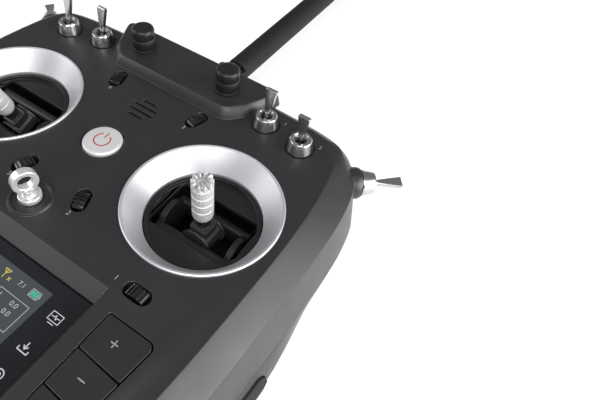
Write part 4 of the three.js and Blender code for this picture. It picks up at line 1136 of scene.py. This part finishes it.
class RT_OT_screen(bpy.types.Operator):
    """Builds the cover glass, the lit display and the touch signs beside it"""

    bl_idname = "transmitter.screen"
    bl_label = "Screen"

    def execute(self, context):
        low, high = box_mm("screen_glass")
        centre = (low + high) / 2
        size = high - low
        level = high.z - FACE
        glass = bmesh.new()
        add_prism(glass, rounded_rectangle(size.x, size.y, 0.8), low.z - FACE, level, 0.18)
        finish_piece("cover_glass", glass, FINISHES["glass"], "case", ("screen_glass",), 30,
                     Matrix.Translation((centre.x, centre.y, 0)))
        self.draw_display(level)
        self.draw_touch_signs(level)
        return {"FINISHED"}

    def draw_display(self, level):
        """The lit area, its boxes and figures, a bar chart, a cell sign and an aerial sign."""
        panel = bmesh.new()
        line_level = level + DISPLAY_SKIN
        add_prism(panel, rounded_rectangle(*DISPLAY_SIZE, 0.2, 1), level, line_level)
        finish_piece("display_area", panel, FINISHES["display"], "case",
                     place=Matrix.Translation((*DISPLAY_CENTRE, 0)))
        lines = bmesh.new()
        for box in DISPLAY_BOXES:
            add_frame(lines, *box, 0.22, line_level)
        for words, height, at in DISPLAY_FIGURES:
            add_text(lines, words, height, at, level=line_level)
        x, y = CHART_START
        for index in range(12):
            reach = 1.2 + 3.4 * (0.5 + 0.5 * math.sin(index * 1.1))
            left = x + index * CHART_PITCH
            add_bar(lines, (left, y), (left, y + reach), 0.9, line_level)
        left, right, low, high = CELL_BOX
        middle = (low + high) / 2
        add_frame(lines, *CELL_BOX, 0.25, line_level)
        add_bar(lines, (right + 0.4, middle - 0.6), (right + 0.4, middle + 0.6), 0.25, line_level)
        finish_piece("display_lines", lines, FINISHES["display_line"], "case", sharp=60)
        charge = bmesh.new()
        for index in range(3):
            add_box(charge, (0.85, 2.1, 0.04), (left + 0.8 + index * CELL_PITCH, middle, line_level + 0.04))
        finish_piece("display_charge", charge, FINISHES["display_green"], "case", sharp=60)
        aerial = bmesh.new()
        add_bars(aerial, AERIAL_STROKES, 0.3, line_level, AERIAL_TOP)
        finish_piece("display_aerial", aerial, FINISHES["display_yellow"], "case", sharp=60)

    def draw_touch_signs(self, level):
        """A pulse in a box, an arrow into a tray and a ring in a ring, printed on the glass."""
        signs = bmesh.new()
        add_frame(signs, TOUCH_X - 2.3, TOUCH_X + 2.3, PULSE_Y - 1.6, PULSE_Y + 1.6, 0.3, level)
        add_bars(signs, PULSE_STROKES, 0.3, level, (TOUCH_X, PULSE_Y))
        add_bars(signs, TRAY_STROKES, 0.4, level, (TOUCH_X, TRAY_Y))
        for radius in (1.7, 0.6):
            add_arc(signs, (TOUCH_X, RINGS_Y), radius, 0.4, 0, 359, level)
        finish_piece("touch_signs", signs, FINISHES["icon"], "case", sharp=60)


class RT_OT_inner_units(bpy.types.Operator):
    """Finishes the display module, speaker, board and battery inside the case"""

    bl_idname = "transmitter.inner_units"
    bl_label = "Inner units"

    def execute(self, context):
        for node, finish in (("lcd_module", "lcd"), ("speaker", "speaker"), ("main_board", "board"),
                             ("battery_pack", "battery")):
            finish_node(node, finish)
        return {"FINISHED"}


# ---------------------------------------------------------------- antenna

KNUCKLE_EDGE = 0.3
SLEEVE_START = 5.8
SLEEVE_GROOVE = 17.8
TONGUE_HALF_THICKNESS = 2.5
PIN_RADIUS = 1.6
PIN_HALF_LENGTH = 7.9


class RT_OT_antenna(bpy.types.Operator):
    """Builds the antenna's swivel and whip"""

    bl_idname = "transmitter.antenna"
    bl_label = "Antenna"

    def execute(self, context):
        moulded_copy("antenna_swivel", "antenna_knuckle", FINISHES["antenna"], "antenna_swivel",
                     KNUCKLE_EDGE)
        fold = joint_place("antenna_fold")
        low, high = box_mm("antenna_whip")
        whip = bmesh.new()
        draw_whip(whip, (high.z - low.z) / 2, high.y - fold.y)
        finish_piece("antenna_sleeve", whip, FINISHES["antenna"], "antenna_whip",
                     ("antenna_whip",), 35, Matrix.Translation(fold))
        return {"FINISHED"}


def draw_whip(mesh, radius, length):
    """A sleeve along Y with a groove and a round end, its tongue, and the pin that it folds about."""
    start = SLEEVE_START
    groove = SLEEVE_GROOVE
    sleeve = rounded([
        (0, start), (radius - 0.6, start, 0.3), (radius, start + 0.8, 0.4), (radius, groove, 0.1),
        (radius - 0.15, groove + 0.2, 0.1), (radius - 0.15, groove + 0.8, 0.1), (radius, groove + 1, 0.1),
        (radius, length - 2.2, 2.0), (radius - 2.6, length, 1.6), (0, length),
    ], steps=6)
    moved(mesh, Matrix.Rotation(-math.pi / 2, 4, "X"), lambda drawing: add_turned(drawing, sleeve, 72))
    tongue = rounded([(-4.6, -4.6, 4.4), (-4.6, 7, 0.5), (4.6, 7, 0.5), (4.6, -4.6, 4.4)], True, 6)
    half = TONGUE_HALF_THICKNESS
    moved(mesh, Matrix.Rotation(math.pi / 2, 4, "Y"),
          lambda drawing: add_prism(drawing, tongue, -half, half, 0.2))
    reach = PIN_HALF_LENGTH
    pin = rounded([(0, -reach), (PIN_RADIUS, -reach, 0.3), (PIN_RADIUS, reach, 0.3), (0, reach)], steps=3)
    moved(mesh, Matrix.Rotation(math.pi / 2, 4, "Y"), lambda drawing: add_turned(drawing, pin, 28))


# ---------------------------------------------------------------- stage

CAMERA_FROM_FACE = (131.796, -99.223, 161.303)
CAMERA_TURN = (38.802, -2.338, 35.271)
CAMERA_LENS = 33.03
CAMERA_SHIFT = 0.10
ROOM_STRENGTH = 0.28
LIT_POINT = (0.02, 0.0, 0.05)
SOFTBOXES = (
    ("key_softbox", (1.1, 0.15, 0.35), 1.0, 30),
    ("front_softbox", (0.5, -0.9, 1.3), 1.0, 26),
    ("left_softbox", (-1.1, -0.5, 0.7), 0.8, 8),
)
FLOOR_REACH = 3
FLOOR_GAP = 0.0005


class RT_OT_stage(bpy.types.Operator):
    """Sets up the floor, the lights and the camera"""

    bl_idname = "transmitter.stage"
    bl_label = "Stage"

    def execute(self, context):
        scene = context.scene
        scene.view_settings.view_transform = "Standard"
        self.make_floor(scene)
        self.make_lights(scene)
        self.make_camera(scene)
        return {"FINISHED"}

    def make_lights(self, scene):
        """A dim white room and three softboxes turned to the controller."""
        world = bpy.data.worlds.new("pale_room")
        world.use_nodes = True
        background = world.node_tree.nodes["Background"]
        background.inputs["Color"].default_value = (1, 1, 1, 1)
        background.inputs["Strength"].default_value = ROOM_STRENGTH
        scene.world = world
        for name, place, size, power in SOFTBOXES:
            light = bpy.data.lights.new(name, "AREA")
            light.size = size
            light.energy = power
            holder = bpy.data.objects.new(name, light)
            holder.location = place
            aim = Vector(LIT_POINT) - Vector(place)
            holder.rotation_euler = aim.to_track_quat("-Z", "Y").to_euler()
            scene.collection.objects.link(holder)

    def make_camera(self, scene):
        """A camera above the right front corner."""
        lens = bpy.data.cameras.new("camera")
        lens.sensor_width = 36
        lens.lens = CAMERA_LENS
        lens.shift_x = CAMERA_SHIFT
        lens.clip_start = 0.005
        camera = bpy.data.objects.new("camera", lens)
        camera.location = (Vector(CAMERA_FROM_FACE) + Vector((0, 0, FACE))) * MM
        camera.rotation_euler = [math.radians(angle) for angle in CAMERA_TURN]
        scene.collection.objects.link(camera)
        scene.camera = camera

    def make_floor(self, scene):
        """A wide pale floor just under the back rest."""
        sheet = bmesh.new()
        bmesh.ops.create_grid(sheet, x_segments=1, y_segments=1, size=FLOOR_REACH)
        bmesh.ops.translate(sheet, verts=sheet.verts, vec=(0, 0, -FLOOR_GAP))
        data = bpy.data.meshes.new("floor")
        sheet.to_mesh(data)
        sheet.free()
        material, tree, shader, where = start_material("pale_floor")
        tree.links.new(blended(tree, grain(tree, where, 4), (0.86, 0.86, 0.86, 1), (0.88, 0.88, 0.88, 1)),
                       shader.inputs["Base Color"])
        shader.inputs["Roughness"].default_value = 0.8
        data.materials.append(material)
        floor = bpy.data.objects.new("floor", data)
        scene.collection.objects.link(floor)


# ---------------------------------------------------------------- add-on

OPERATORS = (
    RT_OT_front_case, RT_OT_back_case, RT_OT_stick_surrounds, RT_OT_stick_units, RT_OT_stick_ends,
    RT_OT_toggle_switches, RT_OT_knobs, RT_OT_trim_rockers, RT_OT_keys, RT_OT_power_button,
    RT_OT_strap_eyelet, RT_OT_screen, RT_OT_inner_units, RT_OT_antenna, RT_OT_stage,
)


class RT_PT_panel(bpy.types.Panel):
    """Lists the settings and the pieces of the transmitter."""

    bl_label = "Transmitter"
    bl_idname = "RT_PT_panel"
    bl_space_type = "VIEW_3D"
    bl_region_type = "UI"
    bl_category = "Transmitter"

    def draw(self, context):
        layout = self.layout
        for group in (context.scene.transmitter_colours, context.scene.transmitter_sizes):
            column = layout.column()
            for name in group.__annotations__:
                column.prop(group, name)
        for operator in OPERATORS:
            layout.operator(operator.bl_idname)


CLASSES = (TransmitterColours, TransmitterSizes, *OPERATORS, RT_PT_panel)


def register():
    """Registers the classes and the scene settings."""
    for item in CLASSES:
        bpy.utils.register_class(item)
    bpy.types.Scene.transmitter_colours = PointerProperty(type=TransmitterColours)
    bpy.types.Scene.transmitter_sizes = PointerProperty(type=TransmitterSizes)


def unregister():
    """Removes the scene settings and the classes."""
    del bpy.types.Scene.transmitter_sizes
    del bpy.types.Scene.transmitter_colours
    for item in reversed(CLASSES):
        bpy.utils.unregister_class(item)


def main():
    register()
    make_finishes(bpy.context.scene.transmitter_colours)
    for operator in OPERATORS:
        group, name = operator.bl_idname.split(".")
        getattr(getattr(bpy.ops, group), name)()


if __name__ == "__main__":
    main()
